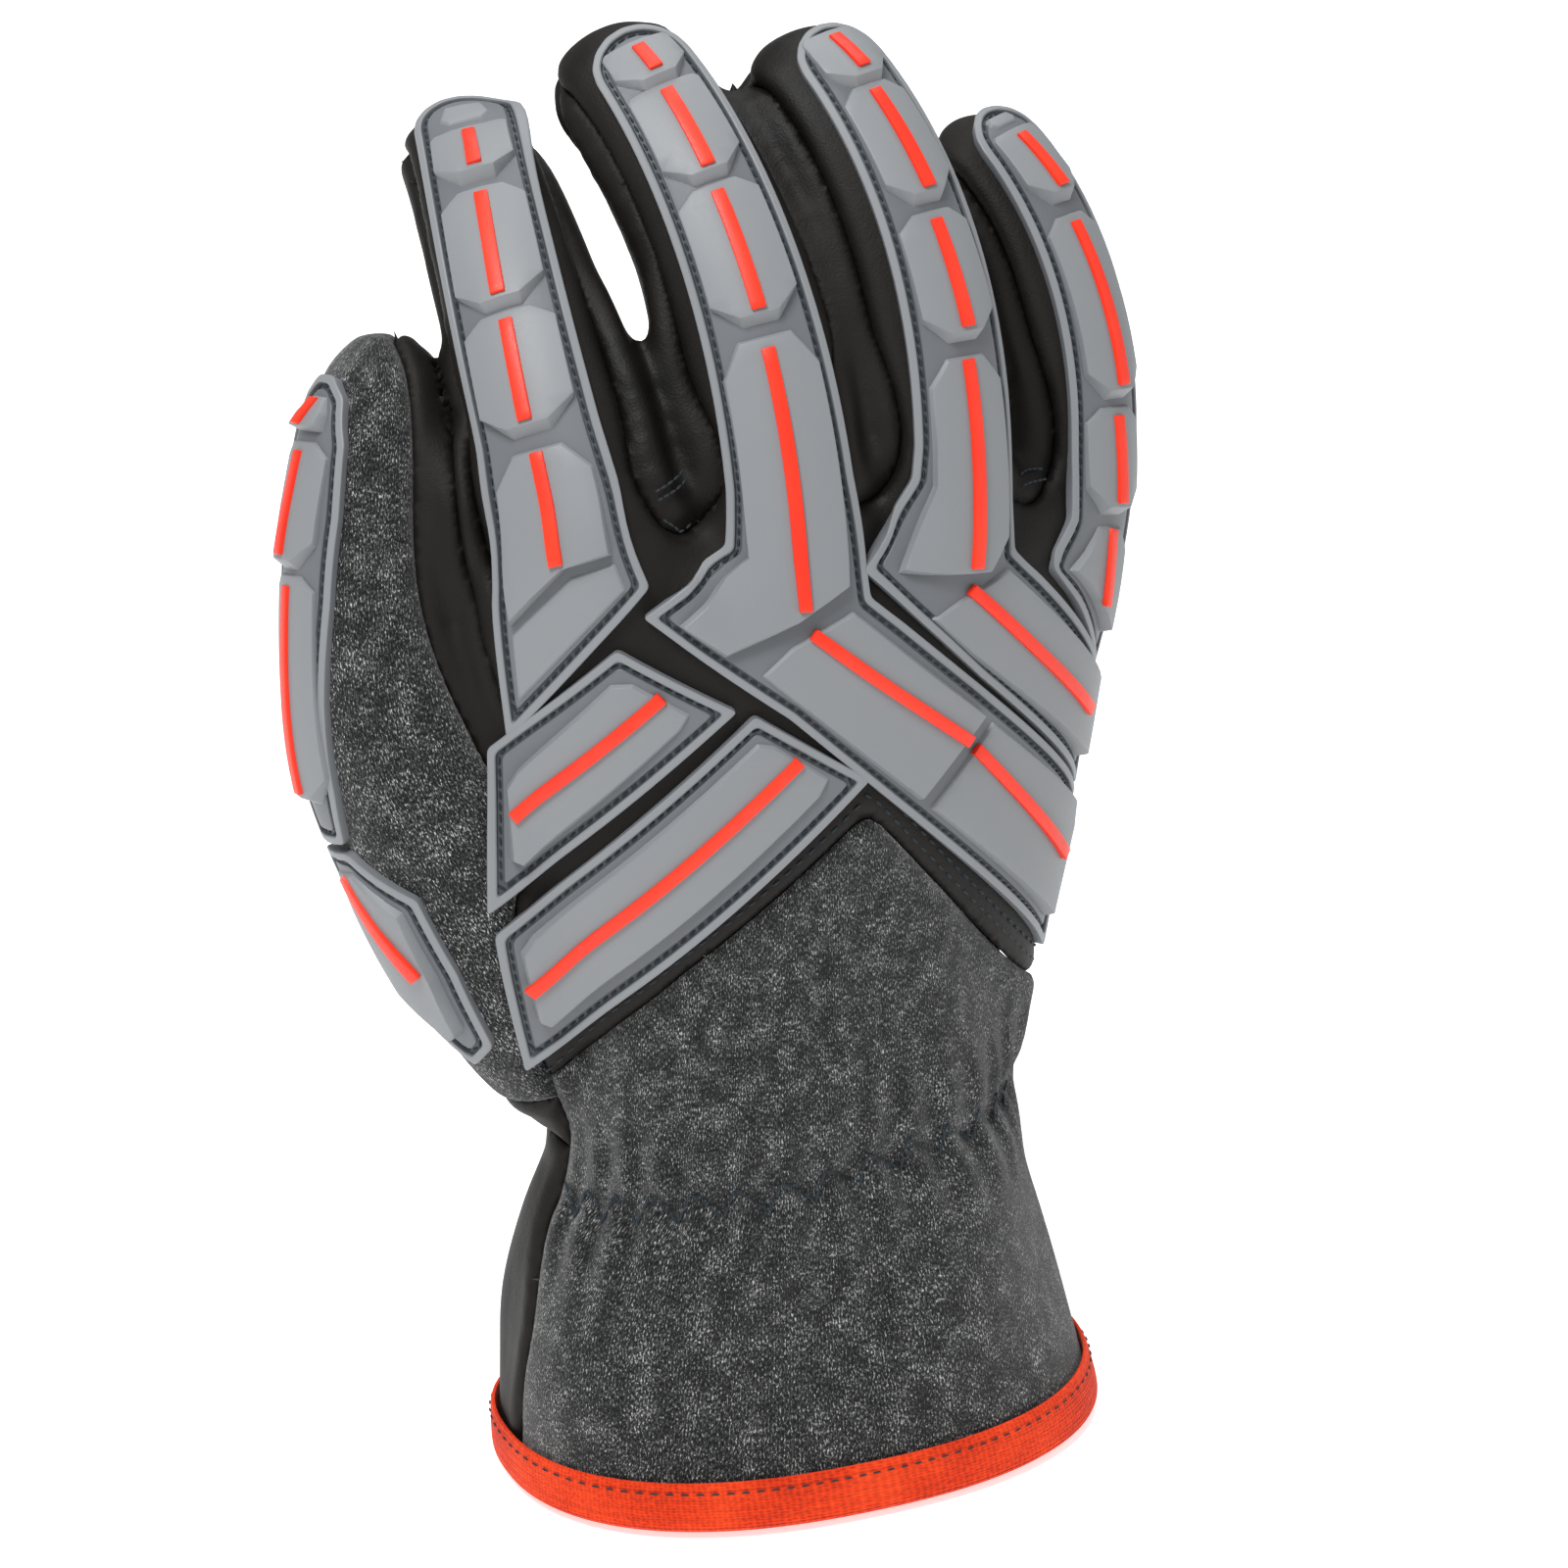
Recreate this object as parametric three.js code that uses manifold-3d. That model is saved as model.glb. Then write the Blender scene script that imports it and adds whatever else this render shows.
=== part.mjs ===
// Fire-resistant impact glove for the right hand, in millimetres.
// +Z points to the finger tips, the back of the hand faces -Y and the thumb lies on the -X side.
// The origin is the centre of the cuff opening, on the plane of its hem.
import * as THREE from "three";
import Module from "manifold-3d";

const wasm = await Module();
wasm.setup();

// Thicknesses and heights
const WALL = 2.0; // leather or knit with its lining
const GAP = 0.3; // clearance between two pieces
const PANEL_START = 1.6; // lower edge of the cuff panels, inside the hem tape
const TAPE_HEIGHT = 9.4; // hem tape outside
const TAPE_INSIDE = 8.4; // hem tape inside
const TAPE_THICK = 1.1;
const GUARD_TOP = 1.5; // top of a guard's base sheet above the leather
const PAD_TOP = 3.1; // top of its raised pads
const BAR_RISE = 1.1; // top of the red bars above the pads
const BAR_SEAT = 0.45; // their lower face above the pads
const CHANNEL = 3.2; // stitched channel round the pads
const BAR_HALF = 1.05; // half the width of a red bar

// Body of the hand and cuff: one row a level. The skin reaches `back` in front of the centre
// towards the back of the hand, `palm` behind it, and `half` to each side.
const bodyRows = [
  { z: 0, x: 1.6, y: -2, half: 53.6, back: 36, palm: 31, round: 2.3 },
  { z: 31, x: 0, y: 0, half: 47.6, back: 32, palm: 28, round: 2.3 },
  { z: 46, x: 0, y: 0, half: 44, back: 29.4, palm: 26, round: 2.2 },
  { z: 60, x: 0.4, y: 0, half: 41.6, back: 27, palm: 26, round: 2.2 },
  { z: 84, x: 1.2, y: 3, half: 45.2, back: 27.5, palm: 26, round: 2.0 },
  { z: 116, x: 1.8, y: 5.5, half: 52.2, back: 27.5, palm: 20, round: 1.9 },
  { z: 140, x: 3.4, y: 7.5, half: 55.2, back: 27.5, palm: 15, round: 1.85 },
  { z: 156, x: 4.0, y: 8.5, half: 56.4, back: 26.8, palm: 12.5, round: 1.8 },
  { z: 165, x: 3.6, y: 7.5, half: 53.0, back: 21.5, palm: 11, round: 1.9 },
  { z: 171, x: 3.0, y: 6.5, half: 44.0, back: 13, palm: 7, round: 2.0 },
];
const CROWN = { rise: 0.6, half: 36, back: 8, palm: 3 }; // closes the body above its last row

// Fingers: `base` is where the middle line of the finger's back leaves the hand. `turn` is the way
// that the finger's back faces, from -Y, `sway` the lean to the side and `curl` the bend towards
// the palm, both from base to tip, in degrees. `reach` is the length along the back.
const fingers = {
  index: {
    base: [-40.2, -5.2, 170.3], turn: -40, sway: [-19.6, -27.8], curl: [15, 79],
    reach: 86, wide: [16, 12.4], thick: [13.8, 11],
  },
  middle: {
    base: [-3.9, -16.5, 160.5], turn: -14, sway: [0, -26], curl: [11.3, 61.3],
    reach: 103, wide: [15.8, 13.4], thick: [14.2, 11.6],
  },
  ring: {
    base: [26.5, -14.5, 163], turn: 16, sway: [9.6, -6.5], curl: [7.5, 61.5],
    reach: 96, wide: [15.2, 12.8], thick: [13.8, 11.2],
  },
  little: {
    base: [55, -1.9, 146.9], turn: 30, sway: [20, -2.3], curl: [0.6, 51.5],
    reach: 84, wide: [13.4, 11.6], thick: [12.6, 10.2],
  },
};
const FINGER_ROOT = 20; // how far a finger's form runs down inside the hand
const TIP_REACH = 11; // finger tip beyond the last pad
const TIP_FLAT = 0.35; // the last section is this far from the very tip
const CURL_POWER = 1.5; // a finger bends more towards its tip
const FINGER_ROUND = 2.2; // how square its section is

// Thumb: centre of each section, from the wrist to the tip, with its half sizes.
// `wide` is measured towards the palm's side, `thick` towards the thumb's back.
const THUMB_TURN = -112;
const thumbRows = [
  { x: -24, y: 9, z: 66, wide: 14, thick: 13 },
  { x: -33, y: 9, z: 78, wide: 18, thick: 18.5 },
  { x: -43, y: 11, z: 95, wide: 19, thick: 20 },
  { x: -53, y: 15, z: 114, wide: 18.5, thick: 19 },
  { x: -60.5, y: 20, z: 134, wide: 17, thick: 17 },
  { x: -62.5, y: 25, z: 153, wide: 16, thick: 14.6 },
  { x: -60.5, y: 30, z: 171, wide: 15.2, thick: 13.4 },
  { x: -58, y: 34, z: 185, wide: 13, thick: 11.4 },
  { x: -57, y: 36, z: 193, wide: 9, thick: 8 },
  { x: -56.6, y: 37, z: 197, wide: 4, thick: 3.6 },
];

// The back of the hand is close to a wide cylinder, which carries the chart of the guards.
const BACK_RADIUS = 80;
const BACK_X = 6;
const BACK_Y = -18; // the cylinder's front at BACK_LEVEL
const BACK_LEVEL = 160;
const BACK_SLOPE = 0.06;
const FINGER_WRAP = 17; // radius that a finger's chart is wrapped on

// Facets
const OUTER = { body: 22, finger: 10, steps: 5 };
const INNER = { body: 22, finger: 8, steps: 4 };
const FINE = { body: 64, finger: 28, steps: 18 }; // carries the guards
const GUARD_EDGE = 20; // longest edge of a guard's facets
const BAR_EDGE = 60; // the same for the columns that cut out the bars
const COLUMN_TOP = 10; // they reach this high above the leather
const SUNK = -1.6; // guards are cut to the leather's form from this depth up
const HALVINGS = 8; // an edge is split in half at most this often

const rad = THREE.MathUtils.degToRad;
const mix = THREE.MathUtils.lerp;
const vec = (x, y, z) => new THREE.Vector3(x, y, z);
const UP = vec(0, 0, 1);

// A closed solid from its points and triangles, turned to face out.
function solid(points, triangles) {
  const build = (tris) => new wasm.Manifold(new wasm.Mesh({
    numProp: 3,
    vertProperties: new Float32Array(points.flatMap((p) => [p.x, p.y, p.z])),
    triVerts: new Uint32Array(tris.flat()),
  }));
  const made = build(triangles);
  return made.volume() > 0 ? made : build(triangles.map(([a, b, c]) => [a, c, b]));
}

// A skin lofted through closed rings of equal count, with a flat fan on each end.
function loft(rings) {
  const count = rings[0].length;
  const points = rings.flat();
  const triangles = [];
  for (let r = 0; r + 1 < rings.length; r++) {
    for (let i = 0; i < count; i++) {
      const a = r * count + i;
      const b = r * count + ((i + 1) % count);
      triangles.push([a, b, b + count], [a, b + count, a + count]);
    }
  }
  const centre = (ring) => ring.reduce((sum, p) => sum.add(p), vec(0, 0, 0)).divideScalar(count);
  const low = points.push(centre(rings[0])) - 1;
  const high = points.push(centre(rings.at(-1))) - 1;
  const top = (rings.length - 1) * count;
  for (let i = 0; i < count; i++) {
    const next = (i + 1) % count;
    triangles.push([low, next, i], [high, top + i, top + next]);
  }
  return solid(points, triangles);
}

// Point of a rounded section: 2 gives an ellipse, more a squarer form.
function rounded(angle, round) {
  const bow = (value) => Math.sign(value) * Math.abs(value) ** (2 / round);
  return [bow(Math.cos(angle)), bow(Math.sin(angle))];
}

function bodyAt(z) {
  const i = Math.max(1, bodyRows.findIndex((row) => row.z >= z));
  const [a, b] = [bodyRows[i - 1], bodyRows[i]];
  const k = (z - a.z) / (b.z - a.z);
  return Object.fromEntries(Object.keys(a).map((key) => [key, mix(a[key], b[key], k)]));
}

function bodyRing(row, grow, count) {
  return Array.from({ length: count }, (_, i) => {
    const [across, deep] = rounded((2 * Math.PI * i) / count, row.round);
    const depth = (deep < 0 ? row.back : row.palm) + grow;
    return vec(row.x + across * (row.half + grow), row.y + deep * depth, row.z);
  });
}

// The body of the glove from a lower level up, grown by a thickness.
function body(grow, start, facets) {
  const rows = [bodyAt(Math.max(start, 0)), ...bodyRows.filter((row) => row.z > start + 1)];
  rows[0].z = start;
  const rings = rows.map((row) => bodyRing(row, grow, facets.body));
  const top = bodyRows.at(-1);
  const crown = { ...top, ...CROWN, z: top.z + grow + CROWN.rise };
  rings.push(bodyRing(crown, grow, facets.body));
  return loft(rings);
}

// Middle line of a finger's back as stations one millimetre apart: point, direction along the
// finger, normal out of its back and the side direction.
function ridge(finger) {
  const front = vec(Math.sin(rad(finger.turn)), -Math.cos(rad(finger.turn)), 0);
  const side = vec(Math.cos(rad(finger.turn)), Math.sin(rad(finger.turn)), 0);
  const point = vec(...finger.base);
  const stations = [];
  for (let s = 0; s <= finger.reach + TIP_REACH + 1; s++) {
    const part = s / finger.reach;
    const curl = rad(mix(...finger.curl, Math.min(part, 1.15) ** CURL_POWER));
    const sway = rad(mix(...finger.sway, part));
    const rise = UP.clone().multiplyScalar(Math.cos(curl)).addScaledVector(front, -Math.sin(curl));
    const along = rise.multiplyScalar(Math.cos(sway)).addScaledVector(side, Math.sin(sway));
    const normal = front.clone().multiplyScalar(Math.cos(curl)).addScaledVector(UP, Math.sin(curl));
    normal.addScaledVector(along, -normal.dot(along)).normalize();
    const across = along.clone().cross(normal).normalize();
    if (across.dot(side) < 0) across.negate();
    stations.push({ point: point.clone(), along, normal, across });
    point.add(along);
  }
  return stations;
}
for (const finger of Object.values(fingers)) finger.stations = ridge(finger);

// Station of a finger's back at any length, straight on below its base.
function stationAt(stations, s) {
  const i = THREE.MathUtils.clamp(Math.floor(s), 0, stations.length - 2);
  const [a, b] = [stations[i], stations[i + 1]];
  if (s <= 0) return { ...a, point: a.point.clone().addScaledVector(a.along, s) };
  const between = (key) => a[key].clone().lerp(b[key], s - i);
  return {
    point: between("point"),
    along: between("along"),
    normal: between("normal"),
    across: between("across"),
  };
}

// Half sizes of a finger at a length, drawn in to a round tip.
function fingerSize(finger, s, grow) {
  const part = THREE.MathUtils.clamp(s / finger.reach, 0, 1);
  const wide = mix(...finger.wide, part);
  const thick = mix(...finger.thick, part);
  const tip = finger.reach + TIP_REACH;
  const into = Math.max(0, s - (tip - thick)) / thick;
  const cap = Math.sqrt(Math.max(0, 1 - into * into));
  return { wide: wide * cap + grow, thick: thick * cap + grow, deep: thick };
}

function tubeRing(station, size, sides) {
  const centre = station.point.clone().addScaledVector(station.normal, -size.deep);
  return Array.from({ length: sides }, (_, i) => {
    const [across, out] = rounded((2 * Math.PI * i) / sides, FINGER_ROUND);
    return centre.clone()
      .addScaledVector(station.across, across * size.wide)
      .addScaledVector(station.normal, out * size.thick);
  });
}

// Lengths at which a finger has a section, up to the start of its round tip and over it
function fingerLevels(finger, steps) {
  const tip = finger.reach + TIP_REACH;
  const capStart = tip - finger.thick[1];
  const levels = [-FINGER_ROOT];
  for (let i = 0; i <= steps; i++) levels.push(mix(0, capStart, i / steps));
  return [...levels, mix(capStart, tip, 0.6), tip - TIP_FLAT];
}

function fingerSolid(finger, grow, facets) {
  const tip = finger.reach + TIP_REACH;
  const capStart = tip - finger.thick[1];
  return loft(fingerLevels(finger, facets.steps).map((s) => {
    const past = s > capStart ? (grow * (s - capStart)) / (tip - capStart) : 0;
    return tubeRing(stationAt(finger.stations, s + past), fingerSize(finger, s, grow), facets.finger);
  }));
}

// Thumb sections as stations, in the same terms as a finger's.
function thumbStations() {
  const front = vec(Math.sin(rad(THUMB_TURN)), -Math.cos(rad(THUMB_TURN)), 0);
  return thumbRows.map((row, i) => {
    const before = thumbRows[Math.max(0, i - 1)];
    const after = thumbRows[Math.min(thumbRows.length - 1, i + 1)];
    const along = vec(after.x - before.x, after.y - before.y, after.z - before.z).normalize();
    const normal = front.clone().addScaledVector(along, -front.dot(along)).normalize();
    const across = along.clone().cross(normal).normalize();
    const centre = vec(row.x, row.y, row.z);
    return { centre, point: centre.clone().addScaledVector(normal, row.thick), along, normal, across, row };
  });
}
const thumb = thumbStations();

function thumbSolid(grow, facets) {
  return loft(thumb.map((station, i) => {
    const { wide, thick } = station.row;
    const lift = i === thumb.length - 1 ? grow : 0;
    const raised = { ...station, point: station.point.clone().addScaledVector(station.along, lift) };
    return tubeRing(raised, { wide: wide + grow, thick: thick + grow, deep: thick }, facets.finger);
  }));
}

// The whole skin of the glove, grown by a thickness.
function skin(grow, start, facets) {
  const limbs = Object.values(fingers).map((finger) => fingerSolid(finger, grow, facets));
  const all = [...limbs, thumbSolid(grow, facets)];
  return all.reduce((sum, limb) => sum.add(limb), body(grow, start, facets));
}

const outside = skin(0, PANEL_START, OUTER);
const hollow = skin(-WALL, -5, INNER);
const shell = outside.subtract(hollow);

// A block along a tube: `low` and `high` bound it out of the back, `left` and `right` sideways.
function strip(stations, levels, bounds) {
  return loft(levels.map((s) => {
    const { left, right, low, high, deep } = bounds(s);
    const station = stationAt(stations, s);
    const centre = station.point.clone().addScaledVector(station.normal, -deep);
    const corners = [[left, low], [right, low], [right, high], [left, high]];
    return corners.map(([across, out]) => centre.clone()
      .addScaledVector(station.across, across)
      .addScaledVector(station.normal, out));
  }));
}

function seamLevels(finger, start, overTip) {
  const inner = fingerLevels(finger, OUTER.steps).slice(1, -2).filter((s) => s > start + 1);
  return overTip ? [start, ...inner, finger.reach + TIP_REACH + 0.8] : [start, ...inner];
}

// Seams between the panels
const BACK_SEAM = 0.42; // back of a finger above this share of its half thickness
const FRONT_SEAM = -0.45; // front of a finger below this share
const THUMB_SEAM = -0.5;
const CUFF_SEAM = 61; // top of the leather cuff
const BACK_FROM = -12; // a finger's back panel starts at this length
const SIDE_FROM = -10; // its fourchettes
const FRONT_FROM = 17; // the fronts of the middle and the ring finger
const THUMB_FROM = 3; // the thumb's front starts at this row of its table
const BACK_BESIDE = 1; // the region of a finger's back reaches this far past the skin at the sides
const BESIDE = 1.6; // the other regions
const BEYOND = 8; // and this far in front of it
const THUMB_BESIDE = 5; // the thumb's regions

// Region of the back of the hand, level by level, bounded by its left and right side seams.
const sideSeams = [
  { z: -6, left: [-45, -16], right: [53, 6] },
  { z: 30, left: [-42.5, -16], right: [48, 6] },
  { z: 62, left: [-38.5, -13], right: [43, 6] },
  { z: 76, left: [-44, -9], right: [44, 7] },
  { z: 100, left: [-51, -7], right: [50, 8] },
  { z: 150, left: [-53, -1], right: [59, 9] },
  { z: 176, left: [-50, 2], right: [56, 10] },
];
function backRegion(grow) {
  const levels = [-6, ...bodyRows.map((row) => row.z).slice(1), 176];
  return loft(levels.map((z) => {
    const i = Math.max(1, sideSeams.findIndex((row) => row.z >= z));
    const [low, high] = [sideSeams[i - 1], sideSeams[i]];
    const k = (z - low.z) / (high.z - low.z);
    const [x1, y1] = low.left.map((value, axis) => mix(value, high.left[axis], k));
    const [x2, y2] = low.right.map((value, axis) => mix(value, high.right[axis], k));
    return [
      vec(x1, y1 + grow, z), vec(x2, y2 + grow, z), vec(90, y2 + grow, z),
      vec(90, -90, z), vec(-90, -90, z), vec(-90, y1 + grow, z),
    ];
  }));
}

// A block between two copies of a flat outline, each point placed by `place(point, end)`.
function prism(outline, place) {
  const flat = outline.map(([x, y]) => new THREE.Vector2(x, y));
  if (THREE.ShapeUtils.isClockWise(flat)) flat.reverse();
  const count = flat.length;
  const area = (a, b, c) => (b.x - a.x) * (c.y - a.y) - (c.x - a.x) * (b.y - a.y);
  const caps = THREE.ShapeUtils.triangulateShape(flat, [])
    .map(([a, b, c]) => (area(flat[a], flat[b], flat[c]) > 0 ? [a, b, c] : [a, c, b]));
  const points = [0, 1].flatMap((end) => flat.map((p) => place(p, end)));
  const triangles = caps.flatMap(([a, b, c]) => [[a, c, b], [a + count, b + count, c + count]]);
  for (let i = 0; i < count; i++) {
    const next = (i + 1) % count;
    triangles.push([i, next, i + count], [next, next + count, i + count]);
  }
  return solid(points, triangles);
}

// A flat plate cut out along Y, from its outline in X and Z.
const plate = (outline, front, rear) => prism(outline, (p, end) => vec(p.x, end ? rear : front, p.y));

// The back leather ends in a V over the knit cuff.
const V_POINT = [7.5, 127];
const V_LEFT = [-64, 66];
const V_RIGHT = [70, 54];
const knitBelow = (drop) => plate([
  [V_LEFT[0], V_LEFT[1] - drop], [V_POINT[0], V_POINT[1] - 1.4 * drop], [V_RIGHT[0], V_RIGHT[1] - drop],
  [V_RIGHT[0], -10], [V_LEFT[0], -10],
], -90, 60);

function fingerBack(finger, grow) {
  return strip(finger.stations, seamLevels(finger, BACK_FROM, true), (s) => {
    const { wide, thick, deep } = fingerSize(finger, Math.min(s, finger.reach), 0);
    return {
      left: -wide - BACK_BESIDE, right: wide + BACK_BESIDE,
      low: BACK_SEAM * thick - grow, high: thick + BEYOND, deep,
    };
  });
}

// One side of a finger, between its back and its front seam. `side` is 1 towards the little finger.
function fingerSide(finger, side, grow) {
  return strip(finger.stations, seamLevels(finger, SIDE_FROM, false), (s) => {
    const { wide, thick, deep } = fingerSize(finger, Math.min(s, finger.reach), 0);
    const edges = [side * (0.25 * wide - grow), side * (wide + BESIDE)].sort((a, b) => a - b);
    return {
      left: edges[0], right: edges[1],
      low: FRONT_SEAM * thick - grow, high: BACK_SEAM * thick + 2, deep,
    };
  });
}

// The front of a finger, once its back and its fourchettes are taken off.
function fingerFront(finger, grow) {
  return strip(finger.stations, seamLevels(finger, FRONT_FROM - grow, true), (s) => {
    const { wide, thick, deep } = fingerSize(finger, Math.min(s, finger.reach), 0);
    return {
      left: -wide - BESIDE, right: wide + BESIDE, low: -thick - BEYOND, high: BACK_SEAM * thick + 2, deep,
    };
  });
}

// The fourchette round one web: the facing sides of two fingers and the leather between them.
function fourchetteRegion(first, second, web, grow) {
  const block = new THREE.BoxGeometry(web.wide + 2 * grow, web.deep + 2 * grow, web.tall + 2 * grow);
  block.translate(web.x, web.y, web.z);
  return fingerSide(first, 1, grow).add(fingerSide(second, -1, grow)).add(fromGeometry(block));
}

function fromGeometry(geometry) {
  const position = geometry.toNonIndexed().getAttribute("position");
  const points = [];
  const known = new Map();
  const corner = (i) => {
    const p = new THREE.Vector3().fromBufferAttribute(position, i);
    const key = p.toArray().map((value) => value.toFixed(4)).join();
    if (!known.has(key)) known.set(key, points.push(p) - 1);
    return known.get(key);
  };
  const triangles = [];
  for (let i = 0; i < position.count; i += 3) triangles.push([corner(i), corner(i + 1), corner(i + 2)]);
  return solid(points, triangles);
}

// Largest body of a solid, for a cut that leaves a sliver beside it.
function whole(piece) {
  const bodies = piece.decompose();
  return bodies.reduce((best, one) => (one.volume() > best.volume() ? one : best), bodies[0]);
}

const group = new THREE.Group();
const SIMPLER = 0.13; // points closer to a straight line than this are dropped

function meshOf(piece, material) {
  const { numProp, vertProperties, triVerts } = piece.getMesh();
  const points = new THREE.InterleavedBuffer(vertProperties, numProp);
  const geometry = new THREE.BufferGeometry();
  geometry.setAttribute("position", new THREE.InterleavedBufferAttribute(points, 3, 0));
  geometry.setIndex(new THREE.BufferAttribute(triVerts, 1));
  return new THREE.Mesh(geometry, material);
}

function addPiece(name, piece, material) {
  const mesh = meshOf(whole(piece).simplify(SIMPLER), material);
  mesh.name = name;
  group.add(mesh);
}

const leather = new THREE.MeshStandardMaterial({ color: 0x211e1c, roughness: 0.55, metalness: 0 });
const knit = new THREE.MeshStandardMaterial({ color: 0x4a4b4c, roughness: 0.95, metalness: 0 });
const tape = new THREE.MeshStandardMaterial({ color: 0xf04a22, roughness: 0.9, metalness: 0 });
const rubber = new THREE.MeshStandardMaterial({ color: 0x8b8d8f, roughness: 0.5, metalness: 0 });
const redRubber = new THREE.MeshStandardMaterial({ color: 0xff3c1f, roughness: 0.5, metalness: 0 });

// Back of the hand: knit cuff below the V, leather above it.
const allBacks = (grow) => Object.values(fingers)
  .reduce((sum, finger) => sum.add(fingerBack(finger, grow)), backRegion(grow));
const back = shell.intersect(allBacks(0));
addPiece("knit_cuff", back.intersect(knitBelow(GAP)), knit);
addPiece("leather_back", back.subtract(knitBelow(0)), leather);
let rest = shell.subtract(allBacks(GAP));

// Fourchettes between the fingers
const webs = [
  { name: "index_middle", pair: ["index", "middle"], x: -22.5, y: 3, z: 167, wide: 13, deep: 14, tall: 13 },
  { name: "middle_ring", pair: ["middle", "ring"], x: 11, y: 1, z: 169, wide: 11, deep: 14, tall: 13 },
  { name: "ring_little", pair: ["ring", "little"], x: 43.5, y: 6, z: 164, wide: 12, deep: 13, tall: 13 },
];
for (const web of webs) {
  const [first, second] = web.pair.map((name) => fingers[name]);
  addPiece("fourchette_" + web.name, rest.intersect(fourchetteRegion(first, second, web, 0)), leather);
  rest = rest.subtract(fourchetteRegion(first, second, web, GAP));
}

// Thumb: knit over its back and the sides that show, leather in front.
function thumbBlock(first, grow, low, high) {
  return loft(thumb.slice(first).map((station, i, all) => {
    const { thick, wide } = station.row;
    const side = wide + THUMB_BESIDE + grow;
    const past = i === all.length - 1 ? BEYOND : i === 0 ? -grow : 0;
    const centre = station.centre.clone().addScaledVector(station.along, past);
    const corners = [[-side, low(thick)], [side, low(thick)], [side, high(thick)], [-side, high(thick)]];
    return corners.map(([across, out]) => centre.clone()
      .addScaledVector(station.across, across)
      .addScaledVector(station.normal, out));
  }));
}
const thumbKnit = (grow) => thumbBlock(1, grow, (t) => THUMB_SEAM * t - grow, (t) => t + BEYOND);
addPiece("knit_thumb", rest.intersect(thumbKnit(0)), knit);
rest = rest.subtract(thumbKnit(GAP));
const thumbFront = (grow) => thumbBlock(THUMB_FROM, grow, (t) => -t - BEYOND - grow, (t) => t);
addPiece("leather_thumb", rest.intersect(thumbFront(0)), leather);
rest = rest.subtract(thumbFront(GAP));

// The fronts of the two middle fingers are sewn to the palm, which runs on over the other two.
for (const name of ["middle", "ring"]) {
  addPiece("leather_front_" + name, rest.intersect(fingerFront(fingers[name], 0)), leather);
  rest = rest.subtract(fingerFront(fingers[name], GAP));
}
const cuffBlock = (top) => plate([[-90, -10], [90, -10], [90, top], [-90, top]], -90, 90);
addPiece("leather_cuff", rest.intersect(cuffBlock(CUFF_SEAM)), leather);
addPiece("leather_palm", rest.subtract(cuffBlock(CUFF_SEAM + GAP)), leather);

// Hem: a knitted tape folded round the lower edge of the cuff.
function hemTape() {
  const outer = TAPE_THICK + GAP;
  const inner = -WALL - GAP;
  const fold = [
    [outer, 0], [outer, TAPE_HEIGHT], [GAP, TAPE_HEIGHT], [GAP, PANEL_START - GAP],
    [inner, PANEL_START - GAP], [inner, TAPE_INSIDE], [inner - TAPE_THICK, TAPE_INSIDE],
    [inner - TAPE_THICK, 0],
  ];
  const rings = fold.map(([grow, z]) => bodyRing({ ...bodyAt(z), z }, grow, OUTER.body));
  const points = rings.flat();
  const triangles = [];
  rings.forEach((_, r) => {
    const after = (r + 1) % rings.length;
    for (let i = 0; i < OUTER.body; i++) {
      const next = (i + 1) % OUTER.body;
      const [a, b] = [r * OUTER.body + i, r * OUTER.body + next];
      const [c, d] = [after * OUTER.body + next, after * OUTER.body + i];
      triangles.push([a, b, c], [a, c, d]);
    }
  });
  return solid(points, triangles);
}
addPiece("hem_tape", hemTape(), tape);

// Charts: they carry flat outlines (across, along) onto the glove as a point and a direction out.
function handChart(across, level) {
  const turn = across / BACK_RADIUS;
  const front = BACK_Y - BACK_SLOPE * (BACK_LEVEL - level);
  return {
    point: vec(BACK_X + BACK_RADIUS * Math.sin(turn), front + BACK_RADIUS * (1 - Math.cos(turn)), level),
    out: vec(Math.sin(turn), -Math.cos(turn), 0),
  };
}

function wrapped(station, across, radius) {
  const turn = across / radius;
  return {
    point: station.point.clone()
      .addScaledVector(station.across, radius * Math.sin(turn))
      .addScaledVector(station.normal, radius * (Math.cos(turn) - 1)),
    out: station.across.clone().multiplyScalar(Math.sin(turn))
      .addScaledVector(station.normal, Math.cos(turn)),
  };
}

const BLEND_START = -10; // below this the chart lies on the back of the hand
const BLEND_LENGTH = 20;
const MIDDLE_HALF = 12; // beside this the chart leaves the hand later,
const MIDDLE_EDGE = 8; // within this width
const LATER = 14; // by this length
const smooth = (value) => THREE.MathUtils.smoothstep(value, 0, 1);

function fingerChart(finger) {
  const [x, , z] = finger.base;
  const foot = BACK_RADIUS * Math.asin((x - BACK_X) / BACK_RADIUS);
  const lean = rad(finger.sway[0]);
  return (across, along) => {
    const hand = handChart(
      foot + across * Math.cos(lean) + along * Math.sin(lean),
      z - across * Math.sin(lean) + along * Math.cos(lean),
    );
    const later = LATER * smooth((Math.abs(across) - MIDDLE_HALF) / MIDDLE_EDGE);
    const share = smooth((along - BLEND_START - later) / BLEND_LENGTH);
    if (share === 0) return hand;
    const tube = wrapped(stationAt(finger.stations, along), across, FINGER_WRAP);
    return {
      point: hand.point.lerp(tube.point, share),
      out: hand.out.lerp(tube.out, share).normalize(),
    };
  };
}

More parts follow.
